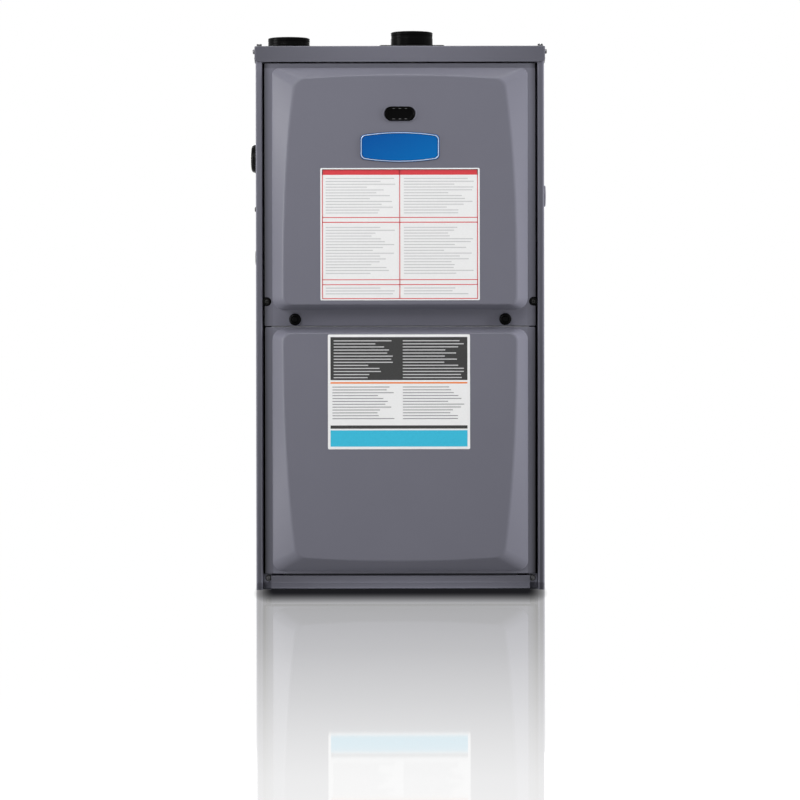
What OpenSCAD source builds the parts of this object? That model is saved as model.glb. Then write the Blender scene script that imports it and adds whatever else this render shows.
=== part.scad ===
// Upflow condensing gas furnace with two embossed doors.
// Origin: bottom centre of the whole. +Z up, +Y towards the back, the doors face -Y.

/* [Cabinet] */
// Width over the side panels
case_w = 444.5; // [400:0.5:560]
// Height from the floor to the top of the cap
case_h = 838.2; // [750:0.1:960]
// Height from the blower deck's underside to the top of the cap
upper_h = 413.2; // [410:0.1:430]
// Depth from the front flanges to the back wall
case_d = 724.3; // [650:0.1:800]
// Sheet steel thickness
sheet_t = 1.0; // [0.8:0.1:1.2]
// Width of each front flange
flange_w = 10.8; // [9:0.1:14]
// Depth of the return behind each front flange
flange_return = 12; // [10:0.5:16]
// Width of the door stop ledge behind the return
ledge_w = 13; // [11:0.5:15]
// Gap between neighbouring sheet pieces that only touch
seat_gap = 0.25; // [0.1:0.05:0.4]
// Radial clearance of a turning or sliding pin
pin_clear = 0.05; // [0.02:0.01:0.1]

/* [Cap] */
// How far the cap stands out past the side panels
cap_overhang = 2; // [1.5:0.1:4]
// Height of the cap's skirt
skirt_h = 24.7; // [18:0.1:32]
// Radius of the skirt's lower front corners
skirt_corner_r = 6; // [3:0.5:9]
// Distance from each side wall's face to the supply air opening
supply_side = 22.25; // [20:0.25:50]
// Distance from the vestibule panel to the supply opening
supply_setback = 16; // [10:1:40]
// Distance from the supply opening to the back wall
supply_back = 24; // [14:1:60]
// Height of the duct flanges round the supply opening
duct_flange_h = 15; // [8:0.5:18]

/* [Doors] */
// Gap between each door's side edge and the flange's return
door_side_gap = 2.35; // [1:0.05:4]
// Gap between the cap's skirt and the upper door
door_top_gap = 2; // [1:0.1:4]
// Distance from the blower deck down to the seam between the doors
seam_drop = 19.3; // [17:0.1:21]
// Gap between the two doors
seam_gap = 1.5; // [1:0.1:3]
// Height of the lower door's bottom edge
door_bottom_z = 25; // [24:0.5:30]
// How far the embossed panels stand out
emboss_d = 25; // [12:0.5:30]
// Margin from the door's side edge to the embossed panel
emboss_side = 12.5; // [11:0.1:16]
// Run of the embossed panel's side slope where the plateau is widest
plateau_side = 16.8; // [12:0.1:26]
// Narrowing of the upper plateau towards its top
upper_taper = 19.2; // [0:0.1:30]
// Narrowing of the lower plateau towards its bottom
lower_taper = 20.3; // [0:0.1:30]
// Rise of the arched plateau ends
plateau_arch = 7; // [0:0.5:12]
// Height of the quarter-turn knobs above the seam
knob_rise = 11.1; // [10.5:0.1:13]
// Distance from the door's side edge to each knob
knob_inset = 47.1; // [30:0.1:60]
// Diameter of a knob
knob_d = 18.5; // [14:0.1:20]
// Height of the door locators above the seam
locator_rise = 38.6; // [37:0.1:60]
// Radius of the locator notches
notch_r = 6.8; // [5:0.1:7.5]
// Width of the sight glass
sight_w = 52; // [40:0.5:60]
// Height of the sight glass
sight_h = 24; // [16:0.5:30]
// Distance from the cap's top down to the sight glass
sight_drop = 106.2; // [100:0.1:110]
// Width of the badge plate
badge_w = 121.4; // [80:0.1:140]
// Height of the badge plate
badge_h = 46.7; // [30:0.1:52]
// Distance from the sight glass down to the badge plate's centre
badge_drop = 51; // [42:0.5:56]

/* [Air and vent couplings] */
// Radius of the bores that take the plastic pipes
pipe_bore_r = 30.2; // [30:0.05:30.4]
// Outer radius of the coupling sleeves
coupling_r = 33; // [32.5:0.1:34]
// Distance from the left side wall's face to the intake coupling
intake_side = 48.25; // [44:0.25:56]
// Distance of the vent coupling right of the centre
vent_x = 19; // [10:1:30]
// Distance of the couplings behind the front flanges
coupling_setback = 100; // [98:1:104]
// Height of the intake coupling above the cap
intake_up = 20; // [14:0.5:30]
// Height of the vent coupling above the cap
vent_up = 29; // [24:0.5:40]
// Width of the vent coupling's flange plate
vent_flange_w = 105; // [90:1:112]
// Thickness of the vent coupling's flange plate
vent_flange_t = 6.5; // [4:0.5:9]

/* [Wall fittings] */
// Distance from the cap's top down to the gas pipe holes
gas_drop = 171.2; // [169:0.1:173]
// Radius of the gas pipe hole
gas_hole_r = 20.6; // [18:0.1:22]
// Distance from the cap's top down to the electrical holes
power_drop = 325.2; // [318:0.1:332]
// Radius of the electrical hole
power_hole_r = 11.1; // [10:0.1:14]
// Distance of the wall holes behind the front flanges
wall_hole_setback = 50; // [49:0.5:52]
// Distance from the cap's top down to the raised knock-out
knockout_drop = 230.2; // [222:0.1:238]
// Radius of the raised knock-out
knockout_r = 16.5; // [12:0.5:18]

/* [Inside] */
// Distance of the vestibule panel behind the front flanges
vest_setback = 190; // [188:1:194]
// Height of the burners' axes above the blower deck
burner_rise = 280; // [277:0.5:283]
// Outer radius of the primary exchanger tubes
primary_r = 22; // [18:0.5:23]
// Bend radius of the primary exchanger tubes
primary_bend_r = 32; // [31:0.5:33]
// Air gap behind the rear header
header_gap = 25; // [12:0.5:40]
// Outer radius of the secondary tubes
coil_r = 8; // [6:0.5:9]
// Height of the collector box's centre above the blower deck
collector_rise = 68; // [66:0.5:70]
// Radius of the inducer wheel
inducer_wheel_r = 50; // [40:1:54]
// Distance from the right wall's inside to the internal vent pipe's axis
vent_leg_side = 56.25; // [54:0.25:58]
// Width of the plate that carries the controls
control_w = 300; // [296:1:330]

/* [Blower] */
// Height of the blower compartment that is not taken by the wheel
blower_spare_h = 171; // [165:1:205]
// Width of the blower wheel
wheel_w = 203; // [180:1:210]
// Number of wheel blades
blade_count = 40; // [24:1:48]
// Width of the scroll housing
scroll_w = 240; // [216:1:264]
// Height between the wheel's top and the blower deck
wheel_drop = 88; // [80:1:92]
// Distance of the blower shaft behind the origin
blower_y = 110; // [100:1:120]
// Gap between the blower motor and the wheel's inner ring
motor_gap = 41; // [30:1:60]
// Length of the blower motor
motor_len = 135; // [120:1:140]
// Distance from each side wall's face to the return air opening
return_side = 32.25; // [24:0.25:80]

/* [Hidden] */
$fn = 48;
FACE_STEPS = 7;
CORNER_STEPS = 5;

half_w = case_w / 2;
inner_x = half_w - sheet_t;
fit_x = inner_x - seat_gap;
front_y = (emboss_d - case_d) / 2;
back_y = front_y + case_d;
rear_flange_w = 16;
fit_back_y = back_y - 2 * sheet_t - seat_gap;
lid_z = case_h - sheet_t;
deck_z = case_h - upper_h;
seam_z = deck_z - seam_drop;
skirt_z = case_h - skirt_h;

return_x = half_w - flange_w;
ledge_x = return_x - ledge_w;
ledge_y = front_y + flange_return;
rail_y = ledge_y + sheet_t;

door_half = return_x - door_side_gap;
knob_x = door_half - knob_inset;
knob_z = seam_z + knob_rise;
knob_pin_r = 3;
// Reach of the knob's head before the door: far end, near end.
knob_head = [7.3, 0.3];
// Width, length and thickness of the knob's locking tongue.
tongue = [5, 17, 2];
locator_x = return_x - 6.15;
locator_z = seam_z + locator_rise;
locator_face_y = front_y + 3;
sight_z = case_h - sight_drop;
badge_z = sight_z - badge_drop;
door_lip_y = ledge_y - seat_gap;
lip_h = 22;
upper_z0 = seam_z + seam_gap / 2;
upper_z1 = skirt_z - door_top_gap;
lower_z0 = door_bottom_z;
lower_z1 = seam_z - seam_gap / 2;
emboss_half = door_half - emboss_side;
plateau_half_w = emboss_half - plateau_side;
plateau_r = 13;
near_seam_r = 18;
top_corner_r = 11;
foot_corner_r = 16;
upper_emboss_z = [upper_z0 + 25.65, upper_z1 - 7.5];
lower_emboss_z = [lower_z0 + 4.9, lower_z1 - 2.45];
upper_plateau_z = [upper_emboss_z[0] + 7, upper_emboss_z[1] - 12];
lower_plateau_z = [lower_emboss_z[0] + 14.8, lower_emboss_z[1] - 6.5];
plateau_y = front_y - emboss_d;
print_t = 0.3;
upper_print = [244.4, 202.8];
upper_print_z = upper_z1 - 264.1;
lower_print = [218, 176];
lower_print_x = -2;
lower_print_z = lower_z1 - 99.35;

rail_z = seam_z - 5.7;
rail_h = 40;
rail_depth = 30;
base_rail_z = [1.7, door_bottom_z - 3];
rail_lip = 8;
tab_x = return_x - 13.05;
tab_screw_x = return_x - 7.95;
tab_screw_z = base_rail_z[1] - 4.6;

// Hex washer head screws: head, washer, shank and the hole that clears it.
screw_hex_r = 4.2;
screw_hex_h = 3.2;
screw_washer_r = 5;
screw_washer_t = 0.8;
screw_shank_r = 1.6;
screw_hole_r = 1.8;

vest_y = front_y + vest_setback;
vest_back_y = vest_y + sheet_t;
deck_top = deck_z + sheet_t;
coupling_y = front_y + coupling_setback;
wall_hole_y = front_y + wall_hole_setback;
gas_z = case_h - gas_drop;
power_z = case_h - power_drop;
knockout_z = case_h - knockout_drop;
knockout_rise = 4;
plug_screw_z = (gas_z + power_z) / 2 - 2;
cap_screw_x = half_w - flange_w / 2;
cap_screw_y = front_y + 6.5;
skirt_screw_z = case_h - 6.5;
skirt_screw_y = [front_y + 30, back_y - 60];
intake_x = half_w - intake_side;
supply_x = half_w - supply_side;
supply_y = [vest_y + supply_setback, back_y - supply_back];
cap_x = half_w + cap_overhang;
cap_y = [front_y - cap_overhang, back_y + cap_overhang];
cap_split_y = supply_y[0] - 10;

duct_pipe_r = pipe_bore_r - 0.05;
duct_pipe_wall = 3;
duct_bend_r = 35;
intake_low = 23;
vent_run_z = case_h - 42;

valve_x = [inner_x - 81.25, inner_x - 25.25];
box_half = valve_x[0] - 15;
burner_z = deck_z + burner_rise;
box_z = [burner_z - 55, burner_z + 57];
box_front_y = vest_y - 165;
burner_pitch = (box_half - 32) / 1.5;
burner_x = [for (i = [-1.5 : 1 : 1.5]) i * burner_pitch];
burner_r = 13;
burner_y = [vest_y - 118, vest_y - 25];
manifold_r = 8.5;
manifold_end_x = box_half - 13;
manifold_y = wall_hole_y;

valve_y = [box_front_y - 0.3, wall_hole_y + 16];
valve_z = [gas_z - 27, gas_z + 27];
valve_mid_x = (valve_x[0] + valve_x[1]) / 2;
valve_pin_r = 3;
gas_thread_r = 9.3;
button_r = 2.5;
button_travel = 2;
rollout_x = box_half - 30;
rollout_z = burner_z + 30;
rollout_len = 8;
rollout_face_y = box_front_y - sheet_t;

pad_t = 8;
header_depth = 48;
header_y = fit_back_y - pad_t - header_gap - header_depth;
collector_z = deck_z + collector_rise;
header_z = [collector_z - 47, burner_z - 4 * primary_bend_r + primary_r + 6];
header_half = inner_x - 56.25;
coil_pitch = (header_half - 46) / 3.5;
bend_y = header_y - primary_bend_r - primary_r + 12;
turn_y = vest_back_y + 14 + primary_bend_r + primary_r;
coil_x = [for (i = [-3.5 : 1 : 3.5]) i * coil_pitch];
coil_z = [collector_z - 18, collector_z + 18];
fin_count = 16;

vent_leg_x = inner_x - vent_leg_side;
inducer_x = vent_leg_x - 55;
collector_x = [coil_x[0] - 11, inducer_x + 40];
collector_h = 82;
collector_y = vest_y - 30;
inducer_r = inducer_wheel_r + 12;
inducer_y = [coupling_y - 28, coupling_y + 28];
inducer_wall = 3;
inducer_motor_y = inducer_y[0] - 40;
inducer_shaft_r = 4;
stub_r = duct_pipe_r - duct_pipe_wall - 0.2;
outlet_z = collector_z + 52;
outlet_half = 28;
trap_x = [16 - fit_x, 66 - fit_x];
drain_y = vest_y - 15;
drain_z = collector_z - 28;
switch_pair_x = 46 - fit_x;
switch_pair_z = [deck_z + 121, deck_z + 179];
limit_x = burner_x[3] + primary_r + 15;
limit_z = deck_z + 175;
limit_rod_r = 5;

wheel_r = (deck_z - blower_spare_h) / 2;
blower_z = deck_z - wheel_r - wheel_drop;
wheel_ring_r = wheel_r - 16;
motor_r = wheel_ring_r - motor_gap;
scroll_x = scroll_w / 2;
scroll_t = 1.2;
scroll_r = [wheel_r + 13, wheel_r + 53];
scroll_sweep = [60, -180];
outlet_edge = scroll_r[0] / 2 + 15;
inlet_r = wheel_r - 19;
shaft_r = 6.35;
motor_x = -35 - motor_len;
arm_x = -scroll_x - 4;
band_x = [arm_x - 8, -scroll_x];
plate_y = front_y + 119.65;
plate_half = control_w / 2;

switch_x = 120;
switch_z = rail_z - 12;
switch_travel = 4;
plunger_r = 3;

// A box between two corners given as ranges.
module slab(x, y, z) {
    translate([x[0], y[0], z[0]])
        cube([x[1] - x[0], y[1] - y[0], z[1] - z[0]]);
}

// Round bars along each axis: at holds the two other coordinates.
module rod_x(at, span, r) {
    translate([span[0], at[0], at[1]])
        rotate([0, 90, 0])
            cylinder(h = span[1] - span[0], r = r);
}

module rod_y(at, span, r) {
    translate([at[0], span[0], at[1]])
        rotate([-90, 0, 0])
            cylinder(h = span[1] - span[0], r = r);
}

module rod_z(at, span, r) {
    translate([at[0], at[1], span[0]])
        cylinder(h = span[1] - span[0], r = r);
}

module pipe_x(at, span, r, bore) {
    difference() {
        rod_x(at, span, r);
        rod_x(at, [span[0] - 1, span[1] + 1], bore);
    }
}

module pipe_y(at, span, r, bore) {
    difference() {
        rod_y(at, span, r);
        rod_y(at, [span[0] - 1, span[1] + 1], bore);
    }
}

module pipe_z(at, span, r, bore) {
    difference() {
        rod_z(at, span, r);
        rod_z(at, [span[0] - 1, span[1] + 1], bore);
    }
}

// A bend of a round tube about the Z axis, from +X round by the angle.
module bend(turn_r, r, bore, angle) {
    rotate_extrude(angle = angle)
        translate([turn_r, 0])
            difference() {
                circle(r = r);
                circle(r = bore);
            }
}

// Runs along a list of points as a round rod with ball corners.
module routed(points, r) {
    for (i = [0 : len(points) - 2])
        rod_between(points[i], points[i + 1], r);
    for (i = [1 : len(points) - 2])
        translate(points[i])
            sphere(r = r);
}

module rod_between(a, b, r) {
    step = b - a;
    if (abs(step[0]) > 0.01)
        rod_x([a[1], a[2]], [min(a[0], b[0]), max(a[0], b[0])], r);
    if (abs(step[1]) > 0.01)
        rod_y([a[0], a[2]], [min(a[1], b[1]), max(a[1], b[1])], r);
    if (abs(step[2]) > 0.01)
        rod_z([a[0], a[1]], [min(a[2], b[2]), max(a[2], b[2])], r);
}

module both_sides() {
    children();
    mirror([1, 0, 0])
        children();
}

// Hex washer head screw with its head towards +Z, seated at z = 0.
module screw(length) {
    cylinder(h = screw_washer_t, r = screw_washer_r);
    translate([0, 0, screw_washer_t])
        cylinder(h = screw_hex_h, r = screw_hex_r, $fn = 6);
    translate([0, 0, -length])
        cylinder(h = length, r = screw_shank_r);
}

// ---- cabinet ----

module side_panels() {
    color([0.42, 0.42, 0.45])
    difference() {
        union() {
            both_sides()
                linear_extrude(lid_z)
                    side_outline();
            rod_x([wall_hole_y, knockout_z], [inner_x, half_w + knockout_rise], knockout_r);
        }
        rod_x([wall_hole_y, knockout_z], [inner_x - 1, half_w + knockout_rise - sheet_t],
              knockout_r - sheet_t);
        both_sides() {
            rod_x([wall_hole_y, gas_z], [inner_x - 1, half_w + 1], gas_hole_r);
            rod_x([wall_hole_y, power_z], [inner_x - 1, half_w + 1], power_hole_r);
            for (y = skirt_screw_y)
                rod_x([y, skirt_screw_z], [inner_x - 1, half_w + 1], screw_hole_r);
            rod_y([tab_screw_x, tab_screw_z], [ledge_y - 1, rail_y + 1], screw_hole_r);
            rod_y([locator_x, locator_z], [ledge_y - 1, rail_y + 1], screw_hole_r);
        }
        rod_x([wall_hole_y, plug_screw_z], [-half_w - 1, 1 - inner_x], screw_hole_r);
    }
}

// Plan of the right side panel: wall, front flange, its return, the door stop ledge and the rear flange.
module side_outline() {
    translate([inner_x, front_y])
        square([sheet_t, case_d]);
    translate([return_x, front_y])
        square([flange_w, sheet_t]);
    translate([return_x, front_y])
        square([sheet_t, flange_return + sheet_t]);
    translate([ledge_x, ledge_y])
        square([ledge_w + sheet_t, sheet_t]);
    translate([half_w - rear_flange_w, back_y - sheet_t])
        square([rear_flange_w, sheet_t]);
}

module back_panel() {
    color([0.42, 0.42, 0.45])
    slab([-fit_x, fit_x], [back_y - 2 * sheet_t, back_y - sheet_t], [0, lid_z]);
}

// Front part of the top, over the burners, with the holes of both couplings.
module top_cap() {
    color([0.4, 0.4, 0.43])
    difference() {
        slab([-cap_x, cap_x], [cap_y[0], cap_split_y], [skirt_z, case_h]);
        slab([sheet_t - cap_x, cap_x - sheet_t], [cap_y[0] + sheet_t, cap_split_y + 1], [skirt_z - 1, lid_z]);
        rod_z([-intake_x, coupling_y], [lid_z - 1, case_h + 1], coupling_r + 0.4);
        rod_z([vent_x, coupling_y], [lid_z - 1, case_h + 1], duct_pipe_r + 0.35);
        both_sides() {
            translate([cap_x - skirt_corner_r, cap_y[0] - 1, skirt_z])
                difference() {
                    translate([0, 0, -1])
                        cube([skirt_corner_r + 1, skirt_corner_r + 1, skirt_corner_r + 1]);
                    rod_y([0, skirt_corner_r], [-1, skirt_corner_r + 1], skirt_corner_r);
                }
            rod_z([cap_screw_x, cap_screw_y], [lid_z - 1, case_h + 1], screw_hole_r);
            rod_x([skirt_screw_y[0], skirt_screw_z], [half_w, cap_x + 1], screw_hole_r);
        }
    }
}

// Rear part of the top, round the supply air opening, with its duct flanges.
module supply_frame() {
    color([0.4, 0.4, 0.43])
    difference() {
        union() {
            slab([-cap_x, cap_x], [cap_split_y + seat_gap, cap_y[1]], [skirt_z, case_h]);
            slab([-supply_x - sheet_t, supply_x + sheet_t],
                 [supply_y[0] - sheet_t, supply_y[1] + sheet_t], [lid_z, case_h + duct_flange_h]);
        }
        slab([sheet_t - cap_x, cap_x - sheet_t], [cap_split_y - 1, cap_y[1] - sheet_t],
             [skirt_z - 1, lid_z]);
        slab([-supply_x, supply_x], supply_y, [lid_z - 1, case_h + duct_flange_h + 1]);
        both_sides()
            rod_x([skirt_screw_y[1], skirt_screw_z], [half_w, cap_x + 1], screw_hole_r);
    }
}

module base_pan() {
    pan_y = [ledge_y + rail_lip + seat_gap, fit_back_y];
    opening_y = [front_y + 180, back_y - 45];
    color([0.6, 0.6, 0.62])
    difference() {
        slab([-fit_x, fit_x], pan_y, [0, 20]);
        slab([sheet_t - fit_x, fit_x - sheet_t], [pan_y[0] + sheet_t, pan_y[1] - sheet_t], [sheet_t, 21]);
        slab([return_side - half_w, half_w - return_side], opening_y, [-1, 2]);
    }
}

module base_rail() {
    end_x = return_x - seat_gap;
    tab_y = ledge_y - sheet_t;
    color([0.4, 0.4, 0.43])
    difference() {
        union() {
            slab([-tab_x, tab_x], [front_y, front_y + sheet_t], base_rail_z);
            slab([-tab_x, tab_x], [front_y, ledge_y + rail_lip], [base_rail_z[1] - sheet_t, base_rail_z[1]]);
            slab([-tab_x, tab_x], [front_y, ledge_y + rail_lip], [base_rail_z[0], base_rail_z[0] + sheet_t]);
            both_sides() {
                slab([tab_x - sheet_t, tab_x], [front_y, ledge_y], base_rail_z);
                slab([tab_x - sheet_t, end_x], [tab_y, ledge_y], base_rail_z);
            }
        }
        both_sides()
            rod_y([tab_screw_x, tab_screw_z], [tab_y - 1, ledge_y + 1], screw_hole_r);
    }
}

module divider_rail() {
    slot_w = 7;
    slot_h = 20;
    color([0.6, 0.6, 0.62])
    difference() {
        slab([-fit_x, fit_x], [rail_y, rail_y + rail_depth], [rail_z, rail_z + rail_h]);
        slab([-fit_x - 1, fit_x + 1], [rail_y + sheet_t, rail_y + rail_depth + 1],
             [rail_z + sheet_t, rail_z + rail_h - sheet_t]);
        both_sides()
            slab([knob_x - slot_w / 2, knob_x + slot_w / 2], [rail_y - 1, rail_y + sheet_t + 1],
                 [knob_z - slot_h / 2, knob_z + slot_h / 2]);
    }
}

module blower_deck() {
    color([0.6, 0.6, 0.62])
    difference() {
        slab([-fit_x, fit_x], [rail_y + rail_depth + seat_gap, fit_back_y], [deck_z, deck_top]);
        slab([scroll_t - scroll_x, scroll_x - scroll_t],
             [blower_y - scroll_r[1] + scroll_t, blower_y + outlet_edge - scroll_t],
             [deck_z - 1, deck_top + 1]);
    }
}

module vestibule_panel() {
    color([0.62, 0.62, 0.64])
    difference() {
        slab([-fit_x, fit_x], [vest_y, vest_back_y], [deck_top, lid_z]);
        for (x = burner_x)
            rod_y([x, burner_z], [vest_y - 1, vest_back_y + 1], primary_r - 1.2);
        for (x = coil_x, z = coil_z)
            rod_y([x, z], [vest_y - 1, vest_back_y + 1], coil_r - 0.8);
        rod_y([limit_x, limit_z], [vest_y - 1, vest_back_y + 1], limit_rod_r + 0.4);
    }
}

module insulation() {
    pad_z = [deck_top + 2, lid_z - 8];
    color([0.75, 0.75, 0.77]) {
        both_sides()
            slab([fit_x - pad_t, fit_x], [vest_back_y + 1, fit_back_y], pad_z);
        slab([pad_t + 0.5 - fit_x, fit_x - pad_t - 0.5], [fit_back_y - pad_t, fit_back_y], pad_z);
    }
}

module intake_coupling() {
    stop_z = case_h - intake_low;
    color([0.05, 0.05, 0.05])
    difference() {
        union() {
            rod_z([-intake_x, coupling_y], [stop_z, case_h + intake_up], coupling_r);
            rod_z([-intake_x, coupling_y], [case_h, case_h + 2], coupling_r + 4);
        }
        rod_z([-intake_x, coupling_y], [stop_z + 5, case_h + intake_up + 1], pipe_bore_r);
        rod_z([-intake_x, coupling_y], [stop_z - 1, stop_z + 6], pipe_bore_r - 3);
    }
}

module vent_coupling() {
    color([0.05, 0.05, 0.05])
    difference() {
        union() {
            rod_z([vent_x, coupling_y], [case_h, case_h + vent_up], coupling_r);
            slab([vent_x - vent_flange_w / 2, vent_x + vent_flange_w / 2],
                 [coupling_y - 40, coupling_y + 40], [case_h, case_h + vent_flange_t]);
        }
        rod_z([vent_x, coupling_y], [case_h + vent_flange_t, case_h + vent_up + 1], pipe_bore_r);
        rod_z([vent_x, coupling_y], [case_h + 2, case_h + vent_flange_t + 1], pipe_bore_r - 3);
        rod_z([vent_x, coupling_y], [case_h - 1, case_h + 2.5], duct_pipe_r + 0.3);
    }
}

module hole_plugs() {
    large_flange_r = gas_hole_r + 5.4;
    small_flange_r = power_hole_r + 1;
    color([0.04, 0.04, 0.04]) {
        rod_x([wall_hole_y, gas_z], [-half_w - 2.6, -half_w], large_flange_r);
        rod_x([wall_hole_y, gas_z], [-half_w - 6.7, 3 - inner_x], gas_hole_r - 0.2);
        rod_x([wall_hole_y, gas_z], [-half_w - 9.6, -half_w - 6.7], gas_hole_r - 3);
        rod_x([wall_hole_y, power_z], [-half_w - 2.5, -half_w], small_flange_r);
        rod_x([wall_hole_y, power_z], [-half_w - 2.5, 3 - inner_x], power_hole_r - 0.2);
    }
}

module cabinet_screws() {
    color([0.3, 0.3, 0.32]) {
        both_sides() {
            translate([cap_screw_x, cap_screw_y, case_h])
                screw(9);
            for (y = skirt_screw_y)
                translate([half_w + cap_overhang, y, skirt_screw_z])
                    rotate([0, 90, 0])
                        screw(7);
            translate([tab_screw_x, ledge_y - sheet_t, tab_screw_z])
                rotate([90, 0, 0])
                    screw(7);
            translate([locator_x, locator_face_y, locator_z])
                rotate([90, 0, 0])
                    locator_screw();
        }
        translate([-half_w, wall_hole_y, plug_screw_z])
            rotate([0, -90, 0])
                screw(6);
    }
}

module locator_screw() {
    cylinder(h = 1.8, r = 2.8);
    translate([0, 0, -14])
        cylinder(h = 14, r = screw_shank_r);
}

module door_locators() {
    color([0.05, 0.05, 0.05])
    both_sides()
        difference() {
            intersection() {
                rod_y([locator_x, locator_z], [locator_face_y, ledge_y], notch_r - 0.5);
                slab([locator_x - notch_r, return_x - seat_gap], [locator_face_y - 1, ledge_y + 1],
                     [locator_z - notch_r, locator_z + notch_r]);
            }
            rod_y([locator_x, locator_z], [locator_face_y - 1, ledge_y + 1], screw_hole_r);
        }
}

// ---- doors ----

// Half-width of a plateau that narrows towards one end: u is 0 at the wide end and 1 at the other.
function barrel(u, taper, power) = plateau_half_w - taper * pow(max(u, 0), power);

// Closed outline in X and Z: sides follow half(z), ends are arched by rise, corners are round.
// low and high are [z, corner radius, rise].
function side_points(low, high, taper, power, wide_low) = [
    for (i = [0 : FACE_STEPS])
        let (z = low[0] + low[1] + (high[0] - high[1] - low[0] - low[1]) * i / FACE_STEPS)
        let (u = wide_low ? (z - low[0]) / (high[0] - low[0]) : (high[0] - z) / (high[0] - low[0]))
        [barrel(u, taper, power), z]
];

function corner_points(centre, r, from) = [
    for (i = [1 : CORNER_STEPS - 1])
        let (a = from + 90 * i / CORNER_STEPS)
        [centre[0] + r * cos(a), centre[1] + r * sin(a)]
];

function end_points(half, z, rise, up) = [
    for (i = [0 : FACE_STEPS])
        let (x = half * (up ? 1 - 2 * i / FACE_STEPS : 2 * i / FACE_STEPS - 1))
        [x, z - rise * pow(x / half, 2)]
];

function flip(points) = [for (i = [len(points) - 1 : -1 : 0]) [-points[i][0], points[i][1]]];

// right side, upper right corner, upper end, then the left half mirrored, then the lower end.
function outline(low, high, taper, power, wide_low) =
    let (side = side_points(low, high, taper, power, wide_low))
    let (top_half = side[FACE_STEPS][0] - high[1])
    let (low_half = side[0][0] - low[1])
    let (upper = corner_points([top_half, side[FACE_STEPS][1]], high[1], 0))
    let (lower = corner_points([low_half, side[0][1]], low[1], -90))
    concat(lower, side, upper,
           end_points(top_half, high[0] + high[2], high[2], true),
           flip(upper), flip(side), flip(lower),
           end_points(low_half, low[0] - low[2], -low[2], false));

// Insets are taken from the sizes, so that inner and outer skins have matching points.
function base_outline(z, low_r, high_r, inset) = [
    for (p = outline([z[0] + inset, low_r, 0], [z[1] - inset, high_r, 0], 0, 1, true))
        [p[0] * (emboss_half - inset) / plateau_half_w, p[1]]
];

function plateau_outline(z, taper, power, wide_low, inset) = [
    for (p = outline([z[0] + inset, plateau_r, wide_low ? 0 : plateau_arch],
                     [z[1] - inset, plateau_r, wide_low ? plateau_arch : 0], taper, power, wide_low))
        [p[0] * (1 - inset / plateau_half_w), p[1]]
];

// A skin through outlines at the given depths. Each end is a fan about a point on the middle line.
module loft(outlines, depths) {
    n = len(outlines[0]);
    last = len(outlines) - 1;
    mid_z = (max([for (p = outlines[0]) p[1]]) + min([for (p = outlines[0]) p[1]])) / 2;
    skin = [for (k = [0 : last]) for (p = outlines[k]) [p[0], depths[k], p[1]]];
    centres = [[0, depths[0], mid_z], [0, depths[last], mid_z]];
    walls = [
        for (k = [0 : last - 1], i = [0 : n - 1])
            let (j = (i + 1) % n)
            [k * n + j, k * n + i, (k + 1) * n + i, (k + 1) * n + j]
    ];
    back = [for (i = [0 : n - 1]) [i, (i + 1) % n, len(skin)]];
    front = [for (i = [0 : n - 1]) [last * n + (i + 1) % n, last * n + i, len(skin) + 1]];
    polyhedron(points = concat(skin, centres), faces = concat(walls, back, front));
}

module door_pan(z) {
    difference() {
        slab([-door_half, door_half], [front_y, door_lip_y], z);
        slab([sheet_t - door_half, door_half - sheet_t], [front_y + sheet_t, door_lip_y + 1],
             [z[0] + sheet_t, z[1] - sheet_t]);
    }
}

module upper_door() {
    color([0.43, 0.43, 0.46])
    difference() {
        union() {
            door_pan([upper_z0, upper_z1]);
            upper_emboss(0, front_y);
        }
        upper_emboss(sheet_t, front_y + sheet_t);
        both_sides() {
            rod_y([locator_x, locator_z], [front_y - 1, door_lip_y + 1], notch_r);
            rod_y([knob_x, knob_z], [front_y - 1, front_y + sheet_t + 1], knob_pin_r + pin_clear);
        }
        sight_cut();
    }
}

module upper_emboss(inset, root_y) {
    base = base_outline(upper_emboss_z, near_seam_r, top_corner_r, inset);
    top_z = [upper_plateau_z[0], upper_plateau_z[1] - plateau_arch];
    face = plateau_outline(top_z, upper_taper, 2.75, true, inset);
    loft([base, base, face], [root_y + sheet_t / 2, root_y - (inset > 0 ? sheet_t : 0), plateau_y + inset]);
}

module lower_emboss(inset, root_y) {
    base = base_outline(lower_emboss_z, foot_corner_r, near_seam_r, inset);
    low_z = [lower_plateau_z[0] + plateau_arch, lower_plateau_z[1]];
    face = plateau_outline(low_z, lower_taper, 2.2, false, inset);
    loft([base, base, face], [root_y + sheet_t / 2, root_y - (inset > 0 ? sheet_t : 0), plateau_y + inset]);
}

module lower_door() {
    color([0.41, 0.41, 0.44])
    difference() {
        union() {
            door_pan([lower_z0, lower_z1]);
            lower_emboss(0, front_y);
            slab([-door_half + sheet_t, door_half - sheet_t], [door_lip_y - sheet_t, door_lip_y],
                 [lower_z1 - lip_h, lower_z1]);
        }
        lower_emboss(sheet_t, front_y + sheet_t);
    }
}

// Stadium outline along X, centred.
module stadium(w, h) {
    square([w - h, h], center = true);
    for (s = [-1, 1])
        translate([s * (w - h) / 2, 0])
            circle(d = h);
}

module on_plateau(z, y) {
    translate([0, y, z])
        rotate([90, 0, 0])
            children();
}

module sight_cut() {
    on_plateau(sight_z, plateau_y + sheet_t + 1)
        linear_extrude(sheet_t + 2)
            stadium(sight_w - 6, sight_h - 6);
}

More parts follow.
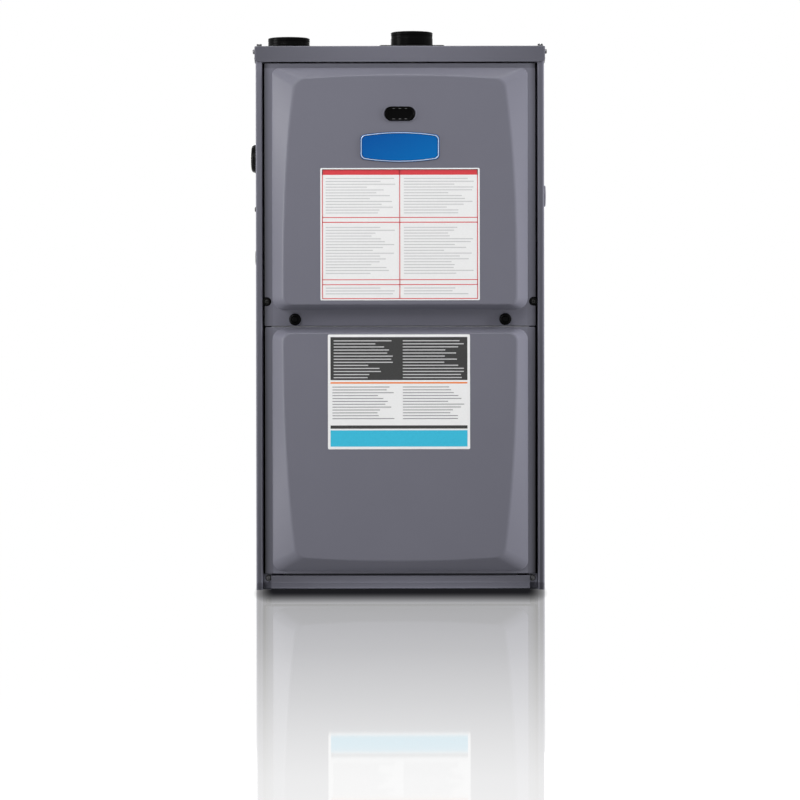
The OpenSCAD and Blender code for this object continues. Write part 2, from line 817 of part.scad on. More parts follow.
module sight_glass() {
    lens_w = sight_w - 14;
    lens_h = sight_h - 14;
    color([0.03, 0.03, 0.03])
    on_plateau(sight_z, plateau_y) {
        difference() {
            union() {
                linear_extrude(2)
                    stadium(sight_w, sight_h);
                translate([0, 0, -4])
                    linear_extrude(5)
                        stadium(sight_w - 6.6, sight_h - 6.6);
            }
            translate([0, 0, -5])
                linear_extrude(8)
                    stadium(lens_w, lens_h);
        }
        translate([0, 0, -3])
            linear_extrude(2)
                stadium(lens_w - 0.2, lens_h - 0.2);
    }
}

// Plate with arched upper and lower edges and cut corners.
module badge_plate() {
    rise = 5;
    steps = 8;
    upper = [
        for (i = [0 : steps])
            let (x = badge_w / 2 * (1 - 2 * i / steps))
            [x, badge_h / 2 - rise * pow(2 * x / badge_w, 2)]
    ];
    lower = [for (i = [steps : -1 : 0]) [upper[i][0], -upper[i][1]]];
    color([0.1, 0.38, 0.7])
    on_plateau(badge_z, plateau_y)
        linear_extrude(1.5)
            polygon(concat(upper, lower));
}

module print_sheet(size, x, z) {
    color([0.9, 0.9, 0.9])
    translate([x, plateau_y, z])
        rotate([90, 0, 0])
            linear_extrude(print_t)
                square(size, center = true);
}

module upper_print_sheet() {
    print_sheet(upper_print, 0, upper_print_z);
}

module lower_print_sheet() {
    print_sheet(lower_print, lower_print_x, lower_print_z);
}

module knob(side) {
    tongue_y = rail_y + sheet_t + 1;
    color([0.04, 0.04, 0.04])
    translate([side * knob_x, 0, knob_z]) {
        difference() {
            union() {
                rod_y([0, 0], [front_y - 4.5, front_y - knob_head[1]], knob_d / 2);
                rod_y([0, 0], [front_y - 6, front_y - 4.5], knob_d / 2 - 1.4);
                rod_y([0, 0], [front_y - knob_head[0], front_y - 6], knob_d / 2 - 3.4);
            }
            slab([-1.2, 1.2], [front_y - knob_head[0] - 1, front_y - 5.5], [-4.5, 4.5]);
        }
        rod_y([0, 0], [front_y - knob_head[1], tongue_y], knob_pin_r);
        slab([-tongue[0] / 2, tongue[0] / 2], [tongue_y, tongue_y + tongue[2]],
             [-tongue[1] / 2, tongue[1] / 2]);
    }
}

module knob_left() {
    knob(-1);
}

module knob_right() {
    knob(1);
}

// ---- burners and gas ----

module burner_box() {
    wall = [box_z[0] + sheet_t, box_z[1] - sheet_t];
    color([0.5, 0.5, 0.53])
    difference() {
        slab([-box_half, box_half], [box_front_y, vest_y], box_z);
        slab([sheet_t - box_half, box_half - sheet_t], [box_front_y - 1, vest_y + 1], wall);
        rod_x([coupling_y, burner_z], [-box_half - 1, 2 - box_half], duct_pipe_r - duct_pipe_wall);
        rod_x([manifold_y, gas_z], [box_half - 2, box_half + 1], manifold_r + 0.5);
    }
}

module burner_cover() {
    color([0.5, 0.5, 0.53])
    difference() {
        union() {
            slab([-box_half - 4, box_half + 4], [box_front_y - sheet_t, box_front_y],
                 [box_z[0] - 4, box_z[1] + 4]);
            rod_y([0, sight_z], [box_front_y - 5, box_front_y], 13);
        }
        rod_y([0, sight_z], [box_front_y - 6, box_front_y - 2], 9);
    }
}

module burners() {
    rack_z = burner_z - burner_r;
    color([0.55, 0.55, 0.57])
    difference() {
        union() {
            for (x = burner_x) {
                rod_y([x, burner_z], burner_y, burner_r);
                rod_y([x, burner_z], [burner_y[1], burner_y[1] + 15], burner_r + 3);
                rod_y([x, burner_z], [burner_y[0], burner_y[0] + 6], burner_r + 2);
            }
            slab([seat_gap + sheet_t - box_half, box_half - sheet_t - seat_gap],
                 [vest_y - 70, vest_y - 40], [rack_z - 6, rack_z + 1]);
        }
        for (x = burner_x)
            rod_y([x, burner_z], [burner_y[0] - 1, burner_y[1] + 16], burner_r - 2);
    }
}

module gas_manifold() {
    far_x = burner_x[0] - 18;
    color([0.35, 0.35, 0.36]) {
        rod_x([manifold_y, gas_z], [manifold_end_x, valve_x[0] + 4], manifold_r);
        rod_z([manifold_end_x, manifold_y], [gas_z, burner_z], manifold_r);
        rod_x([manifold_y, burner_z], [far_x, manifold_end_x], manifold_r);
        rod_x([manifold_y, burner_z], [far_x - 6, far_x + 10], manifold_r + 2.5);
        translate([manifold_end_x, manifold_y, burner_z])
            sphere(r = manifold_r + 2.5);
        translate([manifold_end_x, manifold_y, gas_z])
            sphere(r = manifold_r + 2.5);
        for (x = burner_x)
            rod_y([x, burner_z], [manifold_y, manifold_y + manifold_r + 2], 5.5);
    }
}

module gas_orifices() {
    root_y = manifold_y + manifold_r + 2;
    color([0.72, 0.58, 0.28])
    for (x = burner_x)
        translate([x, root_y, burner_z])
            rotate([-90, 0, 0]) {
                cylinder(h = 4, r = 6, $fn = 6);
                cylinder(h = 9, r = 3);
            }
}

module gas_valve() {
    color([0.66, 0.66, 0.68])
    difference() {
        union() {
            slab(valve_x, valve_y, valve_z);
            rod_x([manifold_y, gas_z], [valve_x[0] - 10, valve_x[0]], manifold_r + 4.5);
            rod_x([wall_hole_y, gas_z], [valve_x[1], valve_x[1] + 11], 14);
            slab([valve_mid_x - 20, valve_mid_x + 20], valve_y, [valve_z[1], valve_z[1] + 14]);
        }
        rod_x([manifold_y, gas_z], [valve_x[0] - 11, valve_x[0] + 5], manifold_r + 0.1);
        rod_x([wall_hole_y, gas_z], [valve_x[1] - 7, valve_x[1] + 12], gas_thread_r);
        rod_y([valve_mid_x, gas_z], [valve_y[0] - 1, valve_y[0] + 10], valve_pin_r + pin_clear);
    }
}

module gas_valve_knob() {
    head_y = valve_y[0] - seat_gap;
    color([0.1, 0.1, 0.1]) {
        rod_y([valve_mid_x, gas_z], [head_y - 7, head_y], 11);
        rod_y([valve_mid_x, gas_z], [head_y, valve_y[0] + 9], valve_pin_r);
        slab([valve_mid_x - 2.5, valve_mid_x + 2.5], [head_y - 11, head_y - 7], [gas_z - 10, gas_z + 10]);
    }
}

module igniter() {
    block_x = box_half - sheet_t - seat_gap;
    color([0.85, 0.82, 0.74]) {
        slab([block_x - 24, block_x], [vest_y - 25, vest_y - 9], [burner_z + 19, burner_z + 35]);
        slab([block_x - 40, block_x - 24], [vest_y - 18, vest_y - 16], [burner_z + 22, burner_z + 32]);
    }
}

module flame_sensor() {
    block_x = box_half - sheet_t - seat_gap;
    color([0.85, 0.82, 0.74]) {
        rod_x([vest_y - 17, burner_z + 27], [-block_x, 24 - block_x], 4);
        rod_x([vest_y - 17, burner_z + 27], [24 - block_x, 46 - block_x], 1.5);
    }
}

// Two rollout limits on the burner cover and the main limit on the vestibule panel.
module limit_switches() {
    color([0.75, 0.7, 0.6]) {
        both_sides()
            difference() {
                rod_y([rollout_x, rollout_z], [rollout_face_y - rollout_len, rollout_face_y], 9);
                rod_y([rollout_x, rollout_z], [rollout_face_y - rollout_len - 1, rollout_face_y - 0.5],
                      button_r + pin_clear);
            }
        slab([limit_x - 14, limit_x + 14], [vest_y - 14, vest_y], [limit_z - 14, limit_z + 14]);
        rod_y([limit_x, limit_z], [vest_y - 1, vest_y + 45], limit_rod_r);
    }
}

module rollout_button(side) {
    reach = rollout_len + 3.5;
    color([0.7, 0.12, 0.1])
    rod_y([side * rollout_x, rollout_z],
          [rollout_face_y - reach, rollout_face_y - button_travel - 1], button_r);
}

module rollout_button_left() {
    rollout_button(-1);
}

module rollout_button_right() {
    rollout_button(1);
}

// ---- heat exchanger ----

module exchanger_tubes() {
    bore = primary_r - 1.2;
    pass = [burner_z, burner_z - 2 * primary_bend_r, burner_z - 4 * primary_bend_r];
    color([0.5, 0.47, 0.44])
    for (x = burner_x) {
        pipe_y([x, pass[0]], [vest_back_y, bend_y], primary_r, bore);
        pipe_y([x, pass[1]], [turn_y, bend_y], primary_r, bore);
        pipe_y([x, pass[2]], [turn_y, header_y], primary_r, bore);
        translate([x, bend_y, pass[0] - primary_bend_r])
            rotate([90, 0, 90])
                rotate([0, 0, -90])
                    bend(primary_bend_r, primary_r, bore, 180);
        translate([x, turn_y, pass[1] - primary_bend_r])
            rotate([90, 0, 90])
                rotate([0, 0, 90])
                    bend(primary_bend_r, primary_r, bore, 180);
    }
}

module rear_header() {
    wall = 1.5;
    color([0.55, 0.55, 0.57])
    difference() {
        slab([-header_half, header_half], [header_y, header_y + header_depth], header_z);
        slab([wall - header_half, header_half - wall], [header_y + wall, header_y + header_depth - wall],
             [header_z[0] + wall, header_z[1] - wall]);
        for (x = burner_x)
            rod_y([x, burner_z - 4 * primary_bend_r], [header_y - 1, header_y + 3], primary_r - 1.2);
        for (x = coil_x, z = coil_z)
            rod_y([x, z], [header_y - 1, header_y + 3], coil_r - 0.8);
    }
}

module secondary_coil() {
    fin_t = 0.8;
    fin_half = header_half - 20;
    fin_y = [vest_back_y + 28, header_y - 30];
    fin_step = (fin_y[1] - fin_y[0]) / (fin_count - 1);
    color([0.68, 0.68, 0.7]) {
        for (x = coil_x, z = coil_z)
            pipe_y([x, z], [vest_back_y, header_y], coil_r, coil_r - 0.8);
        for (i = [0 : fin_count - 1])
            translate([0, fin_y[0] + i * fin_step, 0])
                rotate([90, 0, 0])
                    linear_extrude(fin_t)
                        difference() {
                            translate([-fin_half, coil_z[0] - 18])
                                square([2 * fin_half, coil_z[1] - coil_z[0] + 36]);
                            for (x = coil_x, z = coil_z)
                                translate([x, z])
                                    circle(r = coil_r + 0.1);
                        }
    }
}

module collector_box() {
    wall = 3;
    z = [collector_z - collector_h / 2, collector_z + collector_h / 2];
    color([0.08, 0.08, 0.08])
    difference() {
        union() {
            slab(collector_x, [collector_y, vest_y], z);
            rod_y([inducer_x, collector_z], [inducer_y[1], collector_y], 38);
        }
        slab([collector_x[0] + wall, collector_x[1] - wall], [collector_y + wall, vest_y + 1],
             [z[0] + wall, z[1] - wall]);
        rod_y([inducer_x, collector_z], [inducer_y[1] - 1, collector_y + wall + 1], 34);
    }
}

// ---- inducer and its pipes ----

module inducer_housing() {
    block_x = [vent_leg_x - outlet_half, vent_leg_x + outlet_half];
    block_z = [collector_z, outlet_z];
    w = inducer_wall;
    color([0.08, 0.08, 0.08])
    difference() {
        union() {
            rod_y([inducer_x, collector_z], inducer_y, inducer_r);
            slab(block_x, inducer_y, block_z);
            rod_z([vent_leg_x, coupling_y], [outlet_z, outlet_z + 35], stub_r);
        }
        rod_y([inducer_x, collector_z], [inducer_y[0] + w, inducer_y[1] - w], inducer_r - w);
        slab([block_x[0] + w, block_x[1] - w], [inducer_y[0] + w, inducer_y[1] - w],
             [block_z[0] + w, block_z[1] - w]);
        rod_z([vent_leg_x, coupling_y], [outlet_z - w - 1, outlet_z + 36], stub_r - 3);
        rod_y([inducer_x, collector_z], [inducer_y[1] - w - 1, inducer_y[1] + 1], 22);
        rod_y([inducer_x, collector_z], [inducer_y[0] - 1, inducer_y[0] + w + 1], inducer_shaft_r + 1);
    }
}

module inducer_wheel() {
    back = inducer_y[0] + inducer_wall + 5;
    color([0.2, 0.2, 0.2])
    translate([inducer_x, 0, collector_z]) {
        rod_y([0, 0], [back, back + 2], inducer_wheel_r);
        for (a = [0 : 45 : 315])
            rotate([0, a, 0])
                slab([14, inducer_wheel_r - 1], [back + 1, back + 26], [-0.8, 0.8]);
        rod_y([0, 0], [back, back + 16], 9);
        rod_y([0, 0], [inducer_motor_y - 14, back + 1], inducer_shaft_r);
    }
}

module inducer_motor() {
    color([0.35, 0.35, 0.36])
    pipe_y([inducer_x, collector_z], [inducer_motor_y, inducer_y[0]], 38, inducer_shaft_r + pin_clear);
}

module inducer_fan() {
    fan_y = inducer_motor_y - 12;
    color([0.15, 0.15, 0.15])
    translate([inducer_x, 0, collector_z]) {
        pipe_y([0, 0], [fan_y, fan_y + 9], 8, inducer_shaft_r + 0.02);
        for (a = [0 : 60 : 300])
            rotate([0, a, 0])
                slab([7, 32], [fan_y + 1, fan_y + 8], [-0.9, 0.9]);
    }
}

module vent_pipe() {
    bore = duct_pipe_r - duct_pipe_wall;
    run_x = [vent_x + duct_bend_r, vent_leg_x - duct_bend_r];
    color([0.85, 0.85, 0.83]) {
        pipe_z([vent_leg_x, coupling_y], [outlet_z + 7, vent_run_z - duct_bend_r], duct_pipe_r, bore);
        translate([run_x[1], coupling_y, vent_run_z - duct_bend_r])
            rotate([90, 0, 0])
                bend(duct_bend_r, duct_pipe_r, bore, 90);
        pipe_x([coupling_y, vent_run_z], run_x, duct_pipe_r, bore);
        translate([run_x[0], coupling_y, vent_run_z + duct_bend_r])
            rotate([90, 0, 0])
                rotate([0, 0, 180])
                    bend(duct_bend_r, duct_pipe_r, bore, 90);
        pipe_z([vent_x, coupling_y], [vent_run_z + duct_bend_r, case_h + 1.8], duct_pipe_r, bore);
    }
}

module intake_pipe() {
    bore = duct_pipe_r - duct_pipe_wall;
    color([0.85, 0.85, 0.83]) {
        pipe_z([-intake_x, coupling_y], [burner_z + duct_bend_r, case_h - intake_low - seat_gap],
               duct_pipe_r, bore);
        translate([duct_bend_r - intake_x, coupling_y, burner_z + duct_bend_r])
            rotate([90, 0, 0])
                rotate([0, 0, 180])
                    bend(duct_bend_r, duct_pipe_r, bore, 90);
        pipe_x([coupling_y, burner_z], [duct_bend_r - intake_x, -box_half], duct_pipe_r, bore);
    }
}

module condensate_trap() {
    trap_z = [deck_top, collector_z + 5];
    trap_y = [vest_y - 70, vest_y - 5];
    color([0.12, 0.12, 0.12])
    difference() {
        union() {
            slab(trap_x, trap_y, trap_z);
            rod_y([(trap_x[0] + trap_x[1]) / 2, drain_z], [trap_y[0] - 18, trap_y[0]], 8);
        }
        rod_y([(trap_x[0] + trap_x[1]) / 2, drain_z], [trap_y[0] - 19, trap_y[0] + 10], 6);
    }
}

module pressure_switches() {
    color([0.16, 0.16, 0.17])
    for (z = switch_pair_z) {
        rod_y([switch_pair_x, z], [vest_y - 22, vest_y], 28);
        rod_y([switch_pair_x, z], [vest_y - 30, vest_y - 22], 2.4);
    }
}

// Thin tubes from the two pressure switches, and the drain tube to the trap.
module rubber_tubes() {
    tube_r = 3.2;
    drop_x = [collector_x[0] + 12, collector_x[0] + 32];
    top_z = collector_z + collector_h / 2;
    start_y = vest_y - 30;
    run_y = start_y - 7;
    color([0.1, 0.1, 0.1]) {
        for (i = [0, 1])
            routed([
                [switch_pair_x, start_y, switch_pair_z[i]],
                [switch_pair_x, run_y, switch_pair_z[i]],
                [drop_x[i], run_y, switch_pair_z[i]],
                [drop_x[i], run_y, top_z + 9 + 18 * i],
                [drop_x[i], drain_y, top_z + 9 + 18 * i],
                [drop_x[i], drain_y, top_z]
            ], tube_r);
        rod_x([drain_y, drain_z], [trap_x[1], collector_x[0]], 7);
    }
}

// ---- blower ----

// Spiral from the cut-off round under the wheel to the outlet, in Y and Z about the shaft.
function spiral(extra) = [
    for (i = [0 : 24])
        let (a = scroll_sweep[0] + (scroll_sweep[1] - scroll_sweep[0]) * i / 24)
        let (r = scroll_r[0] + (scroll_r[1] - scroll_r[0]) * i / 24 + extra)
        [r * cos(a), r * sin(a)]
];

function scroll_outline(extra, top) = concat(
    [[outlet_edge + extra, top]], spiral(extra), [[-scroll_r[1] - extra, top]]);

module along_x(x, length) {
    translate([x, blower_y, blower_z])
        rotate([90, 0, 90])
            linear_extrude(length)
                children();
}

module blower_housing() {
    top = deck_z - 3.5 - blower_z;
    outlet = [blower_y - scroll_r[1], blower_y + outlet_edge];
    color([0.6, 0.6, 0.62])
    difference() {
        union() {
            along_x(-scroll_x, scroll_w)
                polygon(scroll_outline(0, top));
            slab([-scroll_x - 12, scroll_x + 12], outlet, [deck_z - 5, deck_z - 3.5]);
        }
        along_x(scroll_t - scroll_x, scroll_w - 2 * scroll_t)
            polygon(scroll_outline(-scroll_t, top + 10));
        rod_x([blower_y, blower_z], [-scroll_x - 1, scroll_x + 1], inlet_r);
    }
}

module blower_wheel() {
    half = wheel_w / 2;
    color([0.5, 0.5, 0.52]) {
        difference() {
            union() {
                translate([-half, blower_y, blower_z])
                    rotate([90, 0, 90])
                        linear_extrude(wheel_w)
                            for (i = [0 : blade_count - 1])
                                rotate(i * 360 / blade_count)
                                    translate([wheel_ring_r + 0.5, -0.6])
                                        square([15, 1.2]);
                pipe_x([blower_y, blower_z], [-half, 3 - half], wheel_r, wheel_ring_r);
                pipe_x([blower_y, blower_z], [half - 3, half], wheel_r, wheel_ring_r);
                rod_x([blower_y, blower_z], [-1, 1], wheel_r);
                rod_x([blower_y, blower_z], [-14, 14], 16);
            }
            rod_x([blower_y, blower_z], [-15, 15], shaft_r + 0.01);
        }
    }
}

module blower_shaft() {
    color([0.7, 0.7, 0.72])
    rod_x([blower_y, blower_z], [motor_x - 10, 20], shaft_r);
}

module blower_motor() {
    color([0.2, 0.2, 0.21])
    difference() {
        union() {
            rod_x([blower_y, blower_z], [motor_x, -35], motor_r);
            slab([motor_x + 3, band_x[0] - 6], [blower_y - 30, blower_y + 30],
                 [blower_z, blower_z + motor_r + 8]);
        }
        rod_x([blower_y, blower_z], [motor_x - 1, -34], shaft_r + pin_clear);
    }
}

module motor_bracket() {
    reach = inlet_r + 12;
    color([0.6, 0.6, 0.62])
    difference() {
        union() {
            rod_x([blower_y, blower_z], band_x, motor_r + 3);
            for (a = [30, 150, 270])
                translate([arm_x, blower_y, blower_z])
                    rotate([a, 0, 0])
                        translate([0, -9, 0])
                            cube([4, 18, reach]);
        }
        rod_x([blower_y, blower_z], [band_x[0] - 1, band_x[1] + 1], motor_r + 0.1);
    }
}

module blower_rails() {
    span = [blower_y - scroll_r[1] - 6, blower_y + outlet_edge + 10];
    color([0.6, 0.6, 0.62])
    both_sides()
        translate([0, span[1], 0])
            rotate([90, 0, 0])
                linear_extrude(span[1] - span[0]) {
                    translate([scroll_x + 0.6, deck_z - 6.8])
                        square([14, 1.5]);
                    translate([scroll_x + 12.6, deck_z - 6.8])
                        square([2, 6.8]);
                    translate([scroll_x + 12.6, deck_z - 1.5])
                        square([14, 1.5]);
                }
}

// ---- controls ----

module control_plate() {
    color([0.6, 0.6, 0.62]) {
        slab([-plate_half, plate_half], [plate_y, plate_y + sheet_t], [deck_z - 195, deck_z]);
        slab([-plate_half, plate_half], [plate_y, plate_y + 20], [deck_z - sheet_t, deck_z]);
    }
}

module control_board() {
    board_x = [10 - plate_half, 170 - plate_half];
    board_z = [deck_z - 175, deck_z - 25];
    board_y = [plate_y - 14, plate_y - 12.4];
    face_y = board_y[0];
    color([0.1, 0.35, 0.2])
    translate([board_x[0], 0, board_z[0]]) {
        slab([0, board_x[1] - board_x[0]], board_y, [0, board_z[1] - board_z[0]]);
        for (x = [8, 152], z = [8, 142])
            rod_y([x, z], [board_y[1], plate_y], 3);
        for (i = [0 : 3])
            slab([12 + i * 34, 38 + i * 34], [face_y - 18, face_y], [102, 122]);
        for (i = [0 : 2])
            slab([20 + i * 44, 50 + i * 44], [face_y - 11, face_y], [12, 24]);
        rod_y([134, 70], [face_y - 22, face_y], 9);
        rod_y([100, 70], [face_y - 16, face_y], 7);
        slab([15, 55], [face_y - 6, face_y], [50, 80]);
    }
}

module transformer() {
    color([0.3, 0.28, 0.26])
    translate([plate_half - 100, plate_y, deck_z - 105]) {
        slab([0, 68], [-34, 0], [0, 64]);
        slab([12, 56], [-48, -34], [14, 50]);
    }
}

module door_switch() {
    body_y = [rail_y + sheet_t, rail_y + rail_depth];
    color([0.85, 0.85, 0.83])
    difference() {
        slab([switch_x - 11, switch_x + 11], body_y, [rail_z - 24, rail_z]);
        rod_y([switch_x, switch_z], [body_y[0] - 1, body_y[1] - 4], plunger_r + pin_clear);
    }
}

module door_switch_plunger() {
    tip_y = door_lip_y + seat_gap;
    color([0.1, 0.1, 0.1])
    rod_y([switch_x, switch_z], [tip_y, rail_y + rail_depth - 4 - switch_travel - 2], plunger_r);
}

module junction_box() {
    wall = 1.2;
    depth = 40;
    y = [wall_hole_y - 28, wall_hole_y + 18];
    z = [power_z - 28, power_z + 28];
    color([0.6, 0.6, 0.62])
    difference() {
        slab([inner_x - depth, inner_x], y, z);
        slab([inner_x - depth + wall, inner_x + 1], [y[0] + wall, y[1] - wall],
             [z[0] + wall, z[1] - wall]);
    }
}

side_panels();
back_panel();
top_cap();
supply_frame();
base_pan();
base_rail();
divider_rail();
blower_deck();
vestibule_panel();
insulation();
intake_coupling();
vent_coupling();
hole_plugs();
cabinet_screws();
door_locators();
burner_box();
burner_cover();
burners();
gas_manifold();
gas_orifices();
gas_valve();
gas_valve_knob();
igniter();
flame_sensor();
limit_switches();
rollout_button_left();
rollout_button_right();
exchanger_tubes();
rear_header();
secondary_coil();
collector_box();
inducer_housing();
inducer_wheel();
inducer_motor();
inducer_fan();
vent_pipe();
intake_pipe();
condensate_trap();
rubber_tubes();
pressure_switches();
blower_housing();
blower_wheel();
blower_shaft();
blower_motor();
motor_bracket();
blower_rails();
control_plate();
control_board();
transformer();
door_switch();
door_switch_plunger();
junction_box();
upper_door();
sight_glass();
badge_plate();
upper_print_sheet();
knob_left();
knob_right();
lower_door();
lower_print_sheet();
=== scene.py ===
import bmesh
import bpy
import numpy as np
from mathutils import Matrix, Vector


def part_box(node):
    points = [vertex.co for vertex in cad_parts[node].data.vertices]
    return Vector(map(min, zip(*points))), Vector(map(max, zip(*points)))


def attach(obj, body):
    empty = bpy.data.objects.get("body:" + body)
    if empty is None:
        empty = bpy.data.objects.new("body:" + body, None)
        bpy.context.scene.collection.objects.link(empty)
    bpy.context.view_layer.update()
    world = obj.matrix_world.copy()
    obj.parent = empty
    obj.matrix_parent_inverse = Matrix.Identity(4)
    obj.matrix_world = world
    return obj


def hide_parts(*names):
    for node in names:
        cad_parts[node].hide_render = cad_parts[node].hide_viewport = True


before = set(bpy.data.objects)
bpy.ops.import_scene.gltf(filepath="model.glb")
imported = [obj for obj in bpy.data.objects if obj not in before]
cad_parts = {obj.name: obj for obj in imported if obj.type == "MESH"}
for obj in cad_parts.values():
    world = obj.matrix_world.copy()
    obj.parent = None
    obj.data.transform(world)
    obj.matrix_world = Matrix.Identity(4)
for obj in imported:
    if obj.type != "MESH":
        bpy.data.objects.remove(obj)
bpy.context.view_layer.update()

# The pieces' lengths are millimetres in the frame's own axes: x to the right, y away from the
# front, z up. They become metres when a mesh is made. The camera, the patterns in the
# materials, the floor and the lights are set in metres.
MM = 0.001


# ---- camera: level, its place and lens fitted to the edges seen in the photograph ----

lens = bpy.data.cameras.new("front_camera")
lens.sensor_width = 36.0
lens.lens = 146.0
lens.shift_x = -0.0002
lens.shift_y = -0.1035
lens.clip_end = 60.0
camera = bpy.data.objects.new("front_camera", lens)
camera.location = (0.0, -5.34965, 0.420)
camera.rotation_euler = (np.radians(90.0), np.radians(0.09), 0.0)
bpy.context.scene.collection.objects.link(camera)
bpy.context.scene.camera = camera


# ---- shapes: arrays of points and faces ----

def surface(points, wrap=False):
    """Grid of points (rows, columns, 3): each cell of four neighbours becomes one face.
    With wrap the last column joins the first."""
    rows, columns = points.shape[:2]
    index = np.arange(rows * columns).reshape(rows, columns)
    if wrap:
        index = np.hstack([index, index[:, :1]])
    faces = np.stack([index[:-1, :-1], index[:-1, 1:], index[1:, 1:], index[1:, :-1]], axis=-1)
    return points.reshape(-1, 3), faces.reshape(-1, 4).tolist()


def disc(points):
    """One flat face inside a closed ring of points (columns, 3)."""
    return points, [list(range(len(points)))]


def joined(*skins):
    """Skins laid one after another in one list of points and faces."""
    offsets = np.cumsum([0] + [len(points) for points, _ in skins])
    faces = [[int(i + start) for i in face] for (_, part), start in zip(skins, offsets) for face in part]
    return np.vstack([points for points, _ in skins]), faces


def turn(before, here, after, steps=9):
    """Cubic curve that leaves the line before-here and joins here-after, both tangent to it:
    each control point lies 0.5523 of the way to the corner, which is nearly an arc."""
    before, here, after = (np.asarray(p, float) for p in (before, here, after))
    t = np.linspace(0, 1, steps + 2)[1:-1, None]
    out, back = before + 0.5523 * (here - before), after + 0.5523 * (here - after)
    return before * (1 - t) ** 3 + 3 * out * t * (1 - t) ** 2 + 3 * back * t ** 2 * (1 - t) + after * t ** 3


def rounded(corners, steps=5):
    """Open profile through corners (a, b, r): at each inner corner the line leaves r before it
    and returns r after it on a tangent curve."""
    spots = [np.array(c[:2], float) for c in corners]
    path = [spots[0][None]]
    for before, here, after, (_, _, r) in zip(spots, spots[1:], spots[2:], corners[1:-1]):
        if r == 0:
            path.append(here[None])
            continue
        start = here + (before - here) / np.linalg.norm(before - here) * r
        end = here + (after - here) / np.linalg.norm(after - here) * r
        path += [start[None], turn(start, here, end, steps), end[None]]
    return np.vstack(path + [spots[-1][None]])


def lathe(profile, axis, centre, count=64):
    """Profile of (radius, distance along the axis) turned once round the axis: the point at
    angle a is centre + along * axis + radius * (cos a, sin a) in the other two axes."""
    profile = np.asarray(profile, float)
    angle = np.linspace(0, 2 * np.pi, count, endpoint=False)
    order = {"x": (1, 2, 0), "y": (2, 0, 1), "z": (0, 1, 2)}[axis]
    grid = np.empty((len(profile), count, 3))
    grid[..., order[0]] = profile[:, :1] * np.cos(angle)
    grid[..., order[1]] = profile[:, :1] * np.sin(angle)
    grid[..., order[2]] = profile[:, 1:]
    return surface(grid + np.asarray(centre, float), wrap=True)


def rod(axis, centre, ends, radius, count=48):
    """Closed round bar between two places on its axis."""
    return lathe([(0, ends[0]), (radius, ends[0]), (radius, ends[1]), (0, ends[1])], axis, centre, count)


def drawn(path, ends, order):
    """Profile path (n, 2) carried straight between two ends. order names the axes of the
    path's two columns and of the carrying direction, such as "xyz"."""
    a, b, c = ("xyz".index(letter) for letter in order)
    grid = np.empty((len(ends), len(path), 3))
    grid[..., a] = path[:, 0]
    grid[..., b] = path[:, 1]
    grid[..., c] = np.asarray(ends, float)[:, None]
    return surface(grid)


def slabs(boxes):
    """Closed boxes from rows of x0, x1, y0, y1, z0, z1, all in one array."""
    boxes = np.asarray(boxes, float).reshape(-1, 6)
    pick = np.array([[x, y, z] for z in (4, 5) for x, y in ((0, 2), (1, 2), (1, 3), (0, 3))])
    cell = np.array([[0, 1, 5, 4], [1, 2, 6, 5], [2, 3, 7, 6], [3, 0, 4, 7], [4, 5, 6, 7], [3, 2, 1, 0]])
    points = boxes[:, pick].reshape(-1, 3)
    faces = (np.arange(len(boxes))[:, None, None] * 8 + cell).reshape(-1, 4)
    return points, faces.tolist()


def outline(low, high, half, round_low, round_high, taper=0.0, power=1.0, arch=0.0, end="high"):
    """Closed outline (n, 2) in x and z, from the middle of its lower edge round by the right.
    The side stands at half - taper * u ** power, where u runs from 0 to 1 towards the named
    end, and that end bows out by arch * (1 - (x / half) ** 2). Corners turn on cubic curves."""
    def side(z):
        u = (z - low) / (high - low) if end == "high" else (high - z) / (high - low)
        return half - taper * np.clip(u, 0, 1) ** power

    half_low, half_high = side(low), side(high)
    bow_low, bow_high = (arch, 0.0) if end == "low" else (0.0, arch)
    x_low = np.linspace(0, half_low - round_low, 25)
    x_high = np.linspace(half_high - round_high, 0, 25)
    z_side = np.linspace(low + round_low, high - round_high, 41)
    lower = np.stack([x_low, low - bow_low * (1 - (x_low / half_low) ** 2)], 1)
    flank = np.stack([side(z_side), z_side], 1)
    upper = np.stack([x_high, high + bow_high * (1 - (x_high / half_high) ** 2)], 1)
    first = turn(lower[-1], (half_low, low), flank[0])
    second = turn(flank[-1], (half_high, high), upper[0])
    right = np.vstack([lower, first, flank, second, upper])
    return np.vstack([right, right[-2:0:-1] * (-1, 1)])


def level(flat, y):
    """An outline in x and z set at a depth y, which may differ from point to point."""
    return np.stack([flat[:, 0], np.broadcast_to(y, len(flat)), flat[:, 1]], 1)


def fillet(start, corner, last, steps=7):
    """Rings between two rings: point by point the quadratic curve start (1-t)^2 +
    2 corner t (1-t) + last t^2."""
    t = np.linspace(0, 1, steps)[:, None, None]
    return start * (1 - t) ** 2 + 2 * corner * t * (1 - t) + last * t ** 2


# ---- pieces ----

